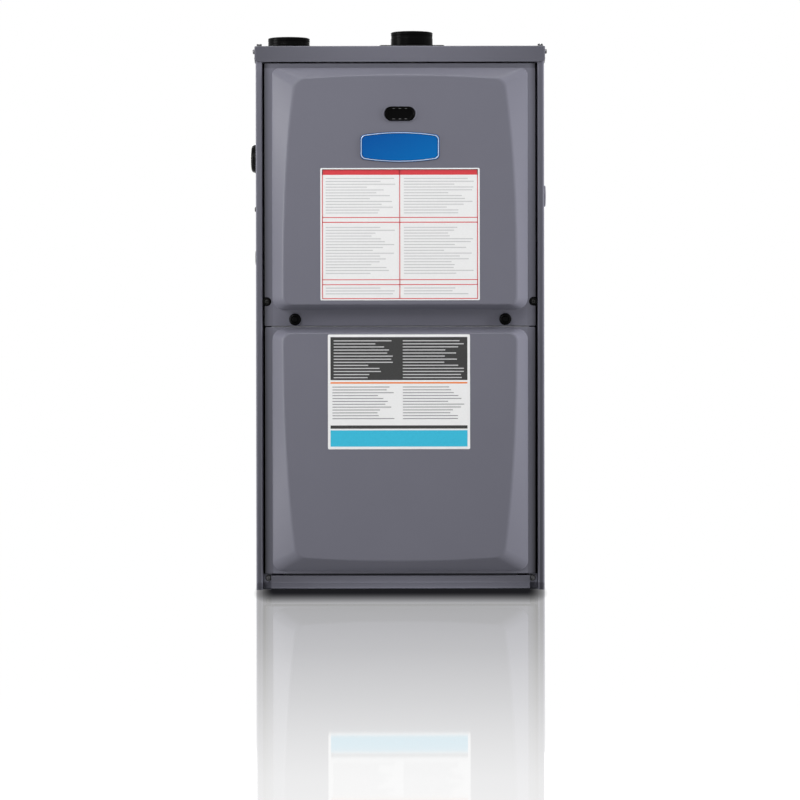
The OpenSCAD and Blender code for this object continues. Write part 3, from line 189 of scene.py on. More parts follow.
def piece(name, skins, body, finishes, nodes=(), facing=None, wall=0.0, cuts=(), bevel=0.0):
    """One object at the origin from skins of points and faces. skins is a list of groups, one
    per finish. Doubles are merged and faces turned outward, or towards facing on an open
    sheet; wall gives the sheet its thickness behind its face; cuts are closed skins taken out;
    bevel is the width of the rounding on sharp edges; nodes are those of the frame it replaces."""
    points, faces = joined(*[joined(*group) for group in skins])
    mesh = bpy.data.meshes.new(name)
    mesh.from_pydata((points * MM).tolist(), [], faces)
    counts = [sum(len(part) for _, part in group) for group in skins]
    mesh.polygons.foreach_set("material_index", np.repeat(np.arange(len(skins)), counts).astype(np.int32))
    for finish in finishes:
        mesh.materials.append(finish)
    form = bmesh.new()
    form.from_mesh(mesh)
    bmesh.ops.remove_doubles(form, verts=form.verts, dist=2e-6)
    bmesh.ops.dissolve_degenerate(form, edges=form.edges, dist=1e-6)
    bmesh.ops.recalc_face_normals(form, faces=form.faces)
    form.normal_update()
    if facing is not None:
        toward = sum(np.dot(face.normal, facing) * face.calc_area() for face in form.faces)
        if toward < 0:
            bmesh.ops.reverse_faces(form, faces=form.faces)
    form.to_mesh(mesh)
    form.free()
    thing = bpy.data.objects.new(name, mesh)
    bpy.context.scene.collection.objects.link(thing)
    if wall:
        sheet = thing.modifiers.new("wall", "SOLIDIFY")
        sheet.thickness = wall * MM
        sheet.offset = -1.0
        sheet.use_even_offset = True
    cutters = [cutter_of(skin) for skin in cuts]
    for cutter in cutters:
        removal = thing.modifiers.new("hole", "BOOLEAN")
        removal.operation = "DIFFERENCE"
        removal.solver = "EXACT"
        removal.object = cutter
    if wall or cuts:
        settle(thing)
    for cutter in cutters:
        hole = cutter.data
        bpy.data.objects.remove(cutter)
        bpy.data.meshes.remove(hole)
    if bevel:
        edge = thing.modifiers.new("edges", "BEVEL")
        edge.width = bevel * MM
        edge.segments = 3
        edge.limit_method = "ANGLE"
        edge.angle_limit = np.radians(32)
        edge.harden_normals = False
    thing.data.shade_smooth()
    thing.data.set_sharp_from_angle(angle=np.radians(30))
    shade = thing.modifiers.new("shading", "WEIGHTED_NORMAL")
    shade.keep_sharp = True
    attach(thing, body)
    if nodes:
        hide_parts(*nodes)


def cutter_of(skin):
    """A closed skin as an object that a hole is cut with."""
    points, faces = skin
    hole = bpy.data.meshes.new("hole")
    hole.from_pydata((points * MM).tolist(), [], faces)
    form = bmesh.new()
    form.from_mesh(hole)
    bmesh.ops.remove_doubles(form, verts=form.verts, dist=2e-6)
    bmesh.ops.recalc_face_normals(form, faces=form.faces)
    form.to_mesh(hole)
    form.free()
    cutter = bpy.data.objects.new("hole", hole)
    bpy.context.scene.collection.objects.link(cutter)
    return cutter


def settle(thing):
    """Turns an object's modifiers into plain mesh."""
    graph = bpy.context.evaluated_depsgraph_get()
    done = bpy.data.meshes.new_from_object(thing.evaluated_get(graph))
    old = thing.data
    thing.modifiers.clear()
    thing.data = done
    bpy.data.meshes.remove(old)


# ---- materials ----

class Wire:
    """A node's output that takes part in arithmetic: an expression adds its Math nodes."""

    def __init__(self, finish, socket):
        self.finish = finish
        self.socket = socket

    def maths(self, operation, *values, clamp=False):
        settings = {"operation": operation, "use_clamp": clamp}
        return self.finish.add("ShaderNodeMath", settings, dict(enumerate(values)))

    def __add__(self, other):
        return self.maths("ADD", self, other)

    def __sub__(self, other):
        return self.maths("SUBTRACT", self, other)

    def __rsub__(self, other):
        return self.maths("SUBTRACT", other, self)

    def __mul__(self, other):
        return self.maths("MULTIPLY", self, other)

    def __truediv__(self, other):
        return self.maths("DIVIDE", self, other)

    def __pow__(self, other):
        return self.maths("POWER", self, other)

    __radd__ = __add__
    __rmul__ = __mul__

    def clip(self):
        return self.maths("MULTIPLY", self, 1.0, clamp=True)


class Finish:
    """A Principled material whose constants are set on its sockets and whose patterns read
    the object's own coordinates in metres."""

    def __init__(self, name, **constants):
        self.material = bpy.data.materials.new(name)
        self.material.use_nodes = True
        self.tree = self.material.node_tree
        self.shader = self.tree.nodes["Principled BSDF"]
        for socket, value in constants.items():
            self.set(socket, value)

    def set(self, socket, value):
        target = self.shader.inputs[socket.replace("_", " ")]
        if isinstance(value, Wire):
            self.tree.links.new(value.socket, target)
        elif isinstance(value, tuple):
            target.default_value = (*value, 1.0)[:len(target.default_value)]
        else:
            target.default_value = value

    def add(self, kind, settings=None, inputs=None, out=0):
        """Adds one node: its settings first, then the values or wires of its sockets."""
        node = self.tree.nodes.new(kind)
        for key, value in (settings or {}).items():
            if key == "stops":
                while len(node.color_ramp.elements) < len(value):
                    node.color_ramp.elements.new(0.5)
                for element, (place, colour) in zip(node.color_ramp.elements, value):
                    element.position = place
                    element.color = (*colour, 1.0)
            else:
                setattr(node, key, value)
        for key, value in (inputs or {}).items():
            target = node.inputs[key]
            if isinstance(value, Wire):
                self.tree.links.new(value.socket, target)
            elif isinstance(value, tuple) and len(value) == 3 and len(target.default_value) == 4:
                target.default_value = (*value, 1.0)
            else:
                target.default_value = value
        return Wire(self, node.outputs[out])

    def place(self):
        """Object coordinates."""
        return self.add("ShaderNodeTexCoord", out=3)

    def axis(self, letter):
        parts = self.add("ShaderNodeSeparateXYZ", inputs={0: self.place()})
        return Wire(self, parts.socket.node.outputs["xyz".index(letter)])

    def noise(self, scale, detail=2.0, roughness=0.5, stretch=(1.0, 1.0, 1.0)):
        """Soft noise from 0 to 1, scale in repeats per metre, stretched along the axes."""
        where = self.add("ShaderNodeMapping", {"vector_type": "POINT"}, {0: self.place(), 3: stretch})
        return self.add("ShaderNodeTexNoise", {"noise_dimensions": "3D"},
                        {"Vector": where, "Scale": scale, "Detail": detail, "Roughness": roughness})

    def cells(self, scale, out=0, stretch=(1.0, 1.0, 1.0)):
        where = self.add("ShaderNodeMapping", {"vector_type": "POINT"}, {0: self.place(), 3: stretch})
        return self.add("ShaderNodeTexVoronoi", None, {"Vector": where, "Scale": scale}, out)

    def blend(self, amount, low, high):
        """Colour low where amount is 0, high where it is 1."""
        settings = {"data_type": "RGBA", "clamp_factor": True}
        return self.add("ShaderNodeMix", settings, {0: amount, 6: low, 7: high}, 2)

    def bump(self, height, depth_mm):
        """Raises the surface by height times depth_mm."""
        normal = self.add("ShaderNodeBump", None,
                          {"Strength": 1.0, "Distance": depth_mm * MM, "Height": height})
        self.set("Normal", normal)


def powder(name, dark, light, painted_shade=None):
    """Powder coat: faint large clouds in colour, fine mottling and an orange-peel bump. painted_shade
    gives from the finish a mask where shade is painted in, darkening the colour."""
    finish = Finish(name, Metallic=0.0, IOR=1.5, Specular_IOR_Level=0.22)
    clouds = finish.noise(9, 3, 0.6)
    grain = finish.noise(900, 2, 0.6)
    tone = (clouds * 0.7 + grain * 0.3).clip()
    colour = finish.blend(tone, dark, light)
    if painted_shade is not None:
        colour = finish.blend(painted_shade(finish), colour, (0.004, 0.004, 0.005))
    finish.set("Base Color", colour)
    finish.set("Roughness", 0.42 + (grain - 0.5) * 0.10 + (clouds - 0.5) * 0.06)
    finish.bump(grain, 0.05)
    return finish.material


def moulded(name, dark, light, gloss=0.4, texture=0.04, scale=1400, shine=0.5):
    """Moulded plastic or rubber: fine spark texture and slight wear of the tone."""
    finish = Finish(name, Metallic=0.0, IOR=1.47, Specular_IOR_Level=shine)
    spark = finish.noise(scale, 2, 0.6)
    wear = finish.noise(45, 3, 0.55)
    finish.set("Base Color", finish.blend((wear * 0.8 + spark * 0.2).clip(), dark, light))
    finish.set("Roughness", gloss + (wear - 0.5) * 0.16 + (spark - 0.5) * 0.06)
    finish.bump(spark, texture)
    return finish.material


def metal(name, dark, light, gloss=0.35, stretch=(1.0, 1.0, 1.0), scale=300, metallic=1.0, depth=0.02):
    """Bare or plated metal: drawn streaks along one axis and a slow change of tone."""
    finish = Finish(name, Metallic=metallic)
    streaks = finish.noise(scale, 3, 0.6, stretch)
    tone = finish.noise(14, 3, 0.6)
    finish.set("Base Color", finish.blend((tone * 0.6 + streaks * 0.4).clip(), dark, light))
    finish.set("Roughness", gloss + (streaks - 0.5) * 0.18 + (tone - 0.5) * 0.08)
    finish.bump(streaks, depth)
    return finish.material


def zinc_spangle(name):
    """Hot-dip galvanised sheet: flat crystals some 8 mm across, each with its own tone."""
    finish = Finish(name, Metallic=1.0)
    crystal = finish.cells(120, 1)
    shade = finish.add("ShaderNodeRGBToBW", None, {0: crystal})
    cloud = finish.noise(20, 3, 0.6)
    tone = (shade * 0.6 + cloud * 0.4).clip()
    finish.set("Base Color", finish.blend(tone, (0.40, 0.41, 0.43), (0.62, 0.63, 0.65)))
    finish.set("Roughness", 0.32 + shade * 0.16)
    finish.bump(cloud, 0.05)
    return finish.material


def plain(name, dark, light, gloss):
    """Printed or painted colour with a slight paper or film grain."""
    finish = Finish(name)
    grain = finish.noise(500, 2, 0.5)
    finish.set("Base Color", finish.blend(grain, dark, light))
    finish.set("Roughness", gloss + (grain - 0.5) * 0.08)
    finish.bump(grain, 0.01)
    return finish.material


def circuit(name, node):
    """Circuit board: a green plate 14 mm in front of its posts' feet, with black parts standing
    in front of it and a row of ivory sockets along its lower edge."""
    low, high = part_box(node)
    finish = Finish(name, Metallic=0.0, Specular_IOR_Level=0.4)
    y, z = finish.axis("y"), finish.axis("z")
    raised = ((high[1] - 0.0142 - y) / 0.0002).clip()
    socket = raised * ((low[2] + 0.032 - z) / 0.0002).clip()
    traces = (finish.cells(260, stretch=(1.0, 1.0, 2.2)) * 1.4).clip()
    plate = finish.blend(traces, (0.006, 0.085, 0.030), (0.016, 0.170, 0.062))
    parts = finish.blend(raised, plate, (0.014, 0.014, 0.015))
    finish.set("Base Color", finish.blend(socket, parts, (0.70, 0.67, 0.56)))
    finish.set("Roughness", 0.36 + raised * 0.10)
    finish.bump(finish.noise(900, 2, 0.5), 0.02)
    return finish.material


def door_shade_mask(finish):
    """Painted shade on a door: on its flat margins, more towards the outer edges and low down, along
    its upper edge, and a haze low down on the whole door that deepens to the right."""
    x, z = finish.axis("x"), finish.axis("z")
    width = x.maths("ABSOLUTE", x)
    margin = ((width - 0.1955) / 0.0015).clip()
    top = ((z - 0.8035) / 0.001).clip()
    edge = ((width - 0.1985) / 0.0095).clip() ** 1.5
    lower_weight = 1.0 - ((z - 0.25) * 2.2).clip()
    low = ((0.40 - z) * 0.45).clip() * (0.6 + x * 1.3)
    return (margin * lower_weight * 0.27 + edge * 0.60 + top * 0.30 + low).clip()


def flange_shade_mask(finish):
    """Painted shade on the flats of the front flanges: more low down, and more at the right."""
    x, y, z = finish.axis("x"), finish.axis("y"), finish.axis("z")
    width = x.maths("ABSOLUTE", x)
    flat = ((0.2205 - width) / 0.002).clip() * ((width - 0.2135) / 0.0015).clip()
    right, left = x.clip(), (x * -1.0).clip()
    return flat * ((-0.3480 - y) / 0.001).clip() * (0.50 - z * 0.32 + right * (0.9 - z) - left * z * 1.3)


def cap_shade_mask(finish):
    """Painted shade on the cap, fitted on its skirt: deeper towards both ends and most at the left."""
    x = finish.axis("x")
    return (0.10 + x * x * 5.5 + (x * -0.5).clip()).clip()


def rail_shade_mask(finish):
    """Painted shade on the base rail: palest along its lower edge, deeper in its upper half and
    towards both ends."""
    x, z = finish.axis("x"), finish.axis("z")
    up = ((z - 0.0035) / 0.0015).clip() * 0.26 + ((z - 0.009) / 0.004).clip() * 0.34
    return 1.0 - (1.0 - up) * (1.0 - (x * x * 13.0).clip())


paint_dark, paint_light = (0.140, 0.140, 0.173), (0.156, 0.156, 0.191)
cabinet_paint = powder("cabinet_paint", paint_dark, paint_light)
# Copies of the cabinet's paint with shade painted in: on the doors, the front flanges and the cap.
door_coat_shaded = powder("door_coat_shaded", paint_dark, paint_light, painted_shade=door_shade_mask)
flange_coat_shaded = powder("flange_coat_shaded", paint_dark, paint_light, painted_shade=flange_shade_mask)
cap_coat_shaded = powder("cap_coat_shaded", paint_dark, paint_light, painted_shade=cap_shade_mask)
# The rail's paint is nearly three times as light as the cabinet's: painted light, darkened again in places
# by painted shade.
rail_coat_painted_light = powder("rail_coat_painted_light", (0.400, 0.400, 0.490), (0.440, 0.440, 0.535), painted_shade=rail_shade_mask)
galvanised = zinc_spangle("galvanised")
foil_pad = metal("foil_pad", (0.62, 0.63, 0.64), (0.80, 0.80, 0.81), 0.30, scale=90, depth=0.6)
black_rubber = moulded("black_rubber", (0.0015,) * 3, (0.003,) * 3, 0.30, 0.02, 900, 0.03)
gasket_and_gap_shade = moulded("gasket_and_gap_shade", (0.001,) * 3, (0.003,) * 3, 0.9, 0.3, 1600, 0.0)
black_plastic = moulded("black_plastic", (0.0012,) * 3, (0.0025,) * 3, 0.24, 0.01, 1400, 0.05)
screw_zinc = metal("screw_zinc", (0.050, 0.050, 0.053), (0.110, 0.110, 0.116), 0.26, scale=500,
                   metallic=0.85)
screw_black = metal("screw_black", (0.004,) * 3, (0.010,) * 3, 0.26, scale=500, metallic=0.4)
box_steel = zinc_spangle("box_steel")
burner_steel = metal("burner_steel", (0.34, 0.33, 0.32), (0.50, 0.48, 0.45), 0.38)
black_pipe = moulded("black_pipe", (0.020, 0.020, 0.022), (0.040, 0.038, 0.038), 0.45, 0.15, 240)
orifice_brass = metal("orifice_brass", (0.62, 0.42, 0.16), (0.78, 0.56, 0.24), 0.25)
valve_cast = metal("valve_cast", (0.42, 0.43, 0.44), (0.58, 0.58, 0.58), 0.42, scale=700, depth=0.06)
ceramic_body = moulded("ceramic_body", (0.62, 0.56, 0.46), (0.76, 0.71, 0.61), 0.55, 0.05, 900)
reset_red = moulded("reset_red", (0.48, 0.020, 0.016), (0.60, 0.032, 0.026), 0.34, 0.02)
exchanger_steel = metal("exchanger_steel", (0.26, 0.25, 0.24), (0.42, 0.40, 0.38), 0.40)
fin_metal = metal("fin_metal", (0.66, 0.66, 0.67), (0.80, 0.80, 0.80), 0.28, (1.0, 1.0, 0.05))
motor_paint = moulded("motor_paint", (0.035, 0.036, 0.038), (0.060, 0.061, 0.064), 0.40, 0.08, 700)
pvc = moulded("pvc", (0.74, 0.74, 0.70), (0.84, 0.84, 0.80), 0.36, 0.02, 700)
board_green = circuit("board_green", "control_board")
transformer_core = metal("transformer_core", (0.16, 0.15, 0.14), (0.28, 0.26, 0.24), 0.42,
                         (1.0, 1.0, 6.0))
sight_black = moulded("sight_black", (0.0010,) * 3, (0.0020,) * 3, 0.20, 0.01, 1400, 0.04)
print_white = plain("print_white", (0.80, 0.80, 0.80), (0.87, 0.87, 0.87), 0.34)
print_red = plain("print_red", (0.56, 0.030, 0.040), (0.66, 0.042, 0.055), 0.36)
print_grey = plain("print_grey", (0.19, 0.19, 0.20), (0.27, 0.27, 0.28), 0.40)
print_pale = plain("print_pale", (0.50, 0.50, 0.51), (0.60, 0.60, 0.61), 0.40)
print_dark = plain("print_dark", (0.012, 0.012, 0.012), (0.024, 0.024, 0.024), 0.36)
print_cyan = plain("print_cyan", (0.020, 0.42, 0.62), (0.030, 0.50, 0.70), 0.36)
print_orange = plain("print_orange", (0.78, 0.19, 0.035), (0.86, 0.25, 0.05), 0.36)


# ---- cabinet ----

front_y = -349.65
back_y = 374.65
half_w = 222.25
return_x = 212.1
ledge_x = 198.45
ledge_y = -337.65
lid_z = 837.2
case_h = 838.2
sheet_t = 1.0
door_t = 0.8
coupling_y = -249.65
vent_x, intake_x = 19, -174
wall_hole_y = -299.65
gas_hole_r, power_hole_r = 20.6, 11.1
intake_hole_r, vent_hole_r = 33.4, 30.5
gasket_x, gasket_z = (200.0, 211.3), (24.0, 812.0)
gas_z = 667.0
power_z = 513.0
knockout_z = 608.0
plateau_y = -374.65
sides = (("left", -1), ("right", 1))

side_path = rounded([(ledge_x, ledge_y, 0), (return_x, ledge_y, 1.2), (return_x, front_y, 2.2),
                     (half_w, front_y, 2.4), (half_w, back_y, 2.0), (half_w - 16, back_y, 0)])
for hand, sign in sides:
    path = side_path if sign > 0 else side_path[::-1] * np.array([-1.0, 1.0])
    holes = [rod("x", (0, wall_hole_y, z), (sign * 200, sign * 240), r)
             for z, r in ((gas_z, gas_hole_r), (power_z, power_hole_r))]
    piece(f"side_panel_{hand}", [[drawn(path, (0, lid_z), "xyz")]], "cabinet",
          [flange_coat_shaded], ["side_panels"], facing=(sign, -0.1, 0), wall=sheet_t, cuts=holes)

# Raised knock-out in the right wall: a disc 4 mm high with a small dimple, on a thin flat rim.
knockout = rounded([(18.0, half_w - 0.6, 0), (18.0, half_w + 0.2, 0.2), (17.0, half_w + 0.2, 0.3),
                    (16.5, half_w + 4.0, 1.2), (4.0, half_w + 4.0, 1.0), (3.0, half_w + 3.2, 0.6),
                    (0.0, half_w + 3.2, 0)])
knockout = np.vstack([[0, half_w - 0.6], knockout])
piece("wall_knockout", [[lathe(knockout, "x", (0, wall_hole_y, knockout_z))]], "cabinet",
      [cabinet_paint])

# Closed-cell foam strip on both ledges, behind the doors' edges. Its black also stands in for the shade in
# the gaps beside the doors.
for hand, sign in sides:
    strip = slabs([[*sorted(sign * x for x in gasket_x), ledge_y - 0.22, ledge_y + 0.1, *gasket_z]])
    piece(f"door_gasket_{hand}", [[strip]], "cabinet", [gasket_and_gap_shade])

cap_x = 224.25
cap_y = (-351.65, 376.65)
skirt_z = 813.5
supply_x = 200.0
supply_y = (-143.65, 350.65)


def block_ring(x, y0, y1, r, z):
    """Rectangle with rounded corners in plan, as a ring of points at height z."""
    mid = (y0 + y1) / 2
    flat = outline(y0 - mid, y1 - mid, x, r, r)
    return np.stack([flat[:, 0], flat[:, 1] + mid, np.broadcast_to(z, len(flat))], 1)


def cap_skin():
    """Sheet cap: rings go up the skirt, over a rolled edge of radius 2, across the lid to the
    supply opening and up its flange. Near the front corners the skirt's edge rises on a
    circle of radius 6."""
    foot = block_ring(cap_x, *cap_y, 2.5, skirt_z)
    across = np.clip((np.abs(foot[:, 0]) - (cap_x - 6)) / 6, 0, 1)
    behind = np.clip(1 - (foot[:, 1] - cap_y[0]) / 9, 0, 1)
    rise = 6 * (1 - np.sqrt(1 - across ** 2)) * (behind > 0) * np.sqrt(behind)
    rings = []
    for out, up in ((-0.7, 0.0), (-0.15, 0.15), (0.0, 0.7), (0.0, 1.4), (-0.25, 1.9), (-0.25, 6.5)):
        ring = block_ring(cap_x + out, cap_y[0] - out, cap_y[1] + out, 2.5, skirt_z + up)
        ring[:, 2] += rise * (1 if up < 5 else 0)
        rings.append(ring)
    for angle in np.radians([0, 15, 30, 45, 60, 75, 90]):
        inset = 0.25 + 2 * (1 - np.cos(angle))
        rings.append(block_ring(cap_x - inset, cap_y[0] + inset, cap_y[1] - inset, 2.5,
                                case_h - 2 + 2 * np.sin(angle)))
    rings.append(block_ring(cap_x - 8, cap_y[0] + 8, cap_y[1] - 8, 2.5, case_h))
    edge = [block_ring(supply_x + 1 + d, supply_y[0] - 1 - d, supply_y[1] + 1 + d, 2.5, case_h + z)
            for d, z in ((2.5, 0), (1.4, 0.15), (0.5, 0.7), (0.1, 1.6), (0, 2.8), (0, 15))]
    return surface(np.array(rings + edge), wrap=True)


piece("cabinet_cap", [[cap_skin()]], "cabinet", [cap_coat_shaded],
      ["top_cap", "supply_frame"], facing=(0, 0, 1), wall=sheet_t,
      cuts=[rod("z", (x, coupling_y, 0), (820, 850), r)
            for x, r in ((intake_x, intake_hole_r), (vent_x, vent_hole_r))])

rail_half = 199.3
rail_low, rail_high = 1.7, 22.0
rail_path = rounded([(ledge_y - 1.1, rail_low, 0), (front_y, rail_low, 1.2), (front_y, rail_high, 1.2),
                     (ledge_y - 1.1, rail_high, 0)])
rail_end, tab_end = 197.4, 211.2
rail_tabs = slabs([[*sorted((s * rail_end, s * tab_end)), -338.65, -337.65, rail_low, rail_high]
                   for s in (-1, 1)] +
                  [[*sorted((s * rail_end, s * (rail_end + 1.0))), front_y + 0.6, -337.7, rail_low + 0.3,
                    rail_high - 0.3] for s in (-1, 1)])
piece("base_rail_channel", [[drawn(rail_path, (-rail_half, rail_half), "yzx")]], "cabinet",
      [rail_coat_painted_light], ["base_rail"], facing=(0, -1, 0), wall=sheet_t)
piece("base_rail_tabs", [[rail_tabs]], "cabinet", [cabinet_paint], bevel=0.25)


# ---- doors: pressed pans ----

lip_y = -337.9
roll = 1.0


def pan_skin(low, high, door_half, emboss, plateau, brow):
    """Pressed door. Rings of one outline each run from the return edge forwards, over a rolled
    rim, across the flat margin, up a short steep step and a straight slope, over a curved brow
    and onto the raised field, which one flat face closes."""
    step = 1.2
    angles = np.radians([0, 22, 45, 68, 90])
    rim = [outline(low + d, high - d, door_half - d, 2.0, 2.0) for d in roll * (1 - np.cos(angles))]
    depth = front_y + roll * (1 - np.sin(angles))
    rings = [level(rim[0], lip_y)] + [level(r, y) for r, y in zip(rim, depth)]
    base, top = level(emboss, front_y), level(plateau, plateau_y)
    inner = rings[-1]
    gap = np.linalg.norm(base - inner, axis=1)[:, None]
    run = (top - base) * (1, 0, 1)
    inward = run / np.linalg.norm(run, axis=1)[:, None]
    foot = np.clip(0.45 * gap, 0.4, step)
    outward = (inner - base) / gap
    start = base + foot * outward
    shoulder = base + inward * 0.5 * step + np.array([0.0, -1.5 * step, 0.0])
    slope = (top - shoulder) / np.linalg.norm(top - shoulder, axis=1)[:, None]
    rings += [inner + (start - inner) * k for k in (0.2, 0.6)]
    rings += list(fillet(start, base, base + (shoulder - base) * 0.4, 5))
    rings += list(fillet(base + (shoulder - base) * 0.5, shoulder, shoulder + step * slope, 6))
    rings += [(shoulder + step * slope) * (1 - k) + (top - brow * slope) * k for k in (0.33, 0.67)]
    rings += list(fillet(top - brow * slope, top, top + brow * inward, 9))
    grid = np.array(rings)
    return joined(surface(grid, wrap=True), disc(grid[-1]))


def stadium(w, h, grow, y, centre_z):
    """Ring with round ends, w by h, grown by grow all round, at depth y."""
    half_h = h / 2 + grow
    flat = outline(-half_h, half_h, w / 2 + grow, half_h * 0.98, half_h * 0.98)
    return level(flat + (0.0, centre_z), y)


def plug_of(rings):
    """Closed solid from a stack of rings: the skin between them and a face on each end."""
    grid = np.array(rings)
    return joined(surface(grid, wrap=True), disc(grid[0]), disc(grid[-1]))


knob_x, knob_z = 162.0, 416.8
locator_x, locator_z = 205.3, 444.3
sight_z, sight_w, sight_h = 732.0, 46.0, 18.0
badge_z, badge_half_w, badge_half_h = 681.0, 60.7, 23.35
notch_r, knob_hole_r = 6.8, 3.4
through_margin = (-352, -330)
brow = 3.5

upper_emboss = outline(432.1, 804.0, 196.6, 18.0, 11.0)
upper_plateau = outline(439.1, 785.0, 179.8, 13.0, 13.0, 19.2, 2.75, 7.0, "high")
notches = [rod("y", (s * locator_x, 0, locator_z), through_margin, notch_r) for s in (-1, 1)]
notches += [slabs([[*sorted((s * locator_x, s * 212)), *through_margin,
                    locator_z - notch_r, locator_z + notch_r]]) for s in (-1, 1)]
knob_holes = [rod("y", (s * knob_x, 0, knob_z), (-352, -346), knob_hole_r) for s in (-1, 1)]
sight_hole = plug_of([stadium(sight_w, sight_h, 0, y, sight_z) for y in (-380, -370)])
piece("upper_door_pan", [[pan_skin(406.45, 811.5, 208.6, upper_emboss, upper_plateau, brow)]], "upper_door",
      [door_coat_shaded], ["upper_door"], facing=(0, -1, 0), wall=door_t,
      cuts=notches + knob_holes + [sight_hole])

lower_emboss = outline(29.9, 402.5, 196.6, 16.0, 18.0)
lower_plateau = outline(51.7, 396.0, 179.8, 13.0, 13.0, 20.3, 2.2, 7.0, "low")
piece("lower_door_pan", [[pan_skin(25.0, 404.95, 208.1, lower_emboss, lower_plateau, brow)]], "lower_door",
      [door_coat_shaded], ["lower_door"], facing=(0, -1, 0), wall=door_t)


# ---- sight glass and badge ----

def sight_rings(rows):
    """Rings with round ends from rows of width, height, inset and height above the door."""
    return np.array([stadium(w, h, -inset, plateau_y - up, sight_z) for w, h, inset, up in rows])


lip = sight_rings([(45.4, 17.4, 0, -1.2), (52, 24, 0, -0.05), (52, 24, 0.05, 0.5), (52, 24, 0.3, 1.15),
                   (52, 24, 0.7, 1.5), (50, 23.4, 0.6, 1.2), (47.4, 22.8, 0.2, 0.2)])
bezel_steps = [(0, 0.3), (0.2, 1.3), (0.7, 1.85), (1.4, 2.0), (2.3, 1.9), (2.8, 1.5), (3.0, 0.6),
               (4.4, 0.5), (5.0, 0.2), (5.2, -0.7), (6.4, -0.7)]
bezel = sight_rings([(47.4, 22.8, 0.2, 0.2)] + [(46.6, 22.4, inset, up) for inset, up in bezel_steps])
piece("sight_bezel",
      [[surface(lip, wrap=True), disc(lip[0])], [surface(bezel, wrap=True), disc(bezel[-1])]], "upper_door",
      [cabinet_paint, sight_black], ["sight_glass"])

# The tabs' grey is a painted highlight: it stands in for glints on the bezel's snap tabs.
tab_rows = [[x - 1.9, x + 1.9, plateau_y - 0.95, plateau_y - 0.4, z - 0.5, z + 0.5]
            for z in (sight_z - 8.1, sight_z + 8.1) for x in (-9.2, 0.0, 9.2)]
piece("sight_tabs", [[slabs(tab_rows)]], "upper_door",
      [moulded("tab_glint_grey", (0.10, 0.10, 0.105), (0.16, 0.16, 0.165), 0.3, 0.01)], bevel=0.2)


def badge_ring(inset, y):
    """Rounded bar whose upper and lower edges bow out by 5 mm."""
    half_h, half = badge_half_h - inset, badge_half_w - inset
    bar = outline(-half_h + 5, half_h - 5, half, 6.0, 6.0)
    bow = 5 * np.clip(1 - (bar[:, 0] / half) ** 2, 0, 1) * np.sign(bar[:, 1])
    edge = np.clip((np.abs(bar[:, 1]) - (half_h - 12)) / 4, 0, 1)
    return level(bar + np.stack([0 * bow, bow * edge + badge_z], 1), y)


def badge_bands(*bands):
    """One skin for each run of (inset, height) pairs, each a band of the badge's relief."""
    return [surface(np.array([badge_ring(i, plateau_y - h) for i, h in band]), wrap=True) for band in bands]


badge_rim = metal("badge_rim", (0.30, 0.42, 0.60), (0.44, 0.56, 0.72), 0.34, scale=900, metallic=0.2)


def enamel(name, low, high):
    """Blue enamel with painted light: deeper at the upper left, brighter towards the right and the lower
    edge.
    """
    finish = Finish(name, Metallic=0.0, IOR=1.5, Specular_IOR_Level=0.10)
    x, z = finish.axis("x"), finish.axis("z")
    # Painted light: the tone lifts towards the right and towards the lower edge.
    rise = (x * 4.0 + 0.45 - (z - badge_z * MM) * 8.0).clip()
    grain = finish.noise(1200, 2, 0.5)
    body = finish.blend(rise, low, high)
    finish.set("Base Color", finish.blend(grain * 0.10, body, (0.02, 0.16, 0.5)))
    finish.set("Roughness", 0.24 + grain * 0.06)
    finish.bump(grain, 0.01)
    return finish.material


badge_blue = enamel("badge_enamel", (0.001, 0.068, 0.300), (0.001, 0.150, 0.455))
badge_navy = enamel("badge_edge", (0.001, 0.010, 0.045), (0.002, 0.018, 0.080))
badge_sky = enamel("badge_bevel", (0.004, 0.080, 0.330), (0.004, 0.130, 0.420))
field = badge_ring(3.4, plateau_y - 1.05)
piece("badge_plate_raised",
      [badge_bands([(0, 0), (0, 0.55), (0.12, 0.8), (0.5, 1.1)]) + [disc(badge_ring(0, plateau_y))],
       badge_bands([(0.5, 1.1), (0.95, 1.3)]),
       badge_bands([(0.95, 1.3), (1.15, 1.46), (1.5, 1.5), (1.85, 1.46), (2.05, 1.3)]),
       badge_bands([(2.05, 1.3), (2.35, 1.0), (2.8, 0.95)]),
       badge_bands([(2.8, 0.95), (3.1, 0.97), (3.4, 1.05)]) + [disc(field)]],
      "upper_door", [badge_navy, badge_sky, badge_rim, badge_navy, badge_blue],
      ["badge_plate"])


# ---- printed sheets: blocks of colour and ruled lines only ----

def marks(rows, y, depth=0.12, x0=0.0, z0=0.0):
    """Thin raised blocks of ink from rows of left, right, bottom, top, sunk into the sheet."""
    rows = np.asarray(rows, float).reshape(-1, 4)
    deep = np.full(len(rows), y)
    return slabs(np.stack([rows[:, 0] + x0, rows[:, 1] + x0, deep - depth, deep + 0.05,
                           rows[:, 2] + z0, rows[:, 3] + z0], 1))


def ruled(left, right, top, pitch, thick, lengths):
    """Rows of one thin line each, going down from top by pitch, lengths as shares of the width."""
    lengths = np.asarray(lengths, float)
    z = top - pitch * np.arange(len(lengths))
    return np.stack([np.full(len(z), left), left + (right - left) * lengths, z - thick, z], 1)


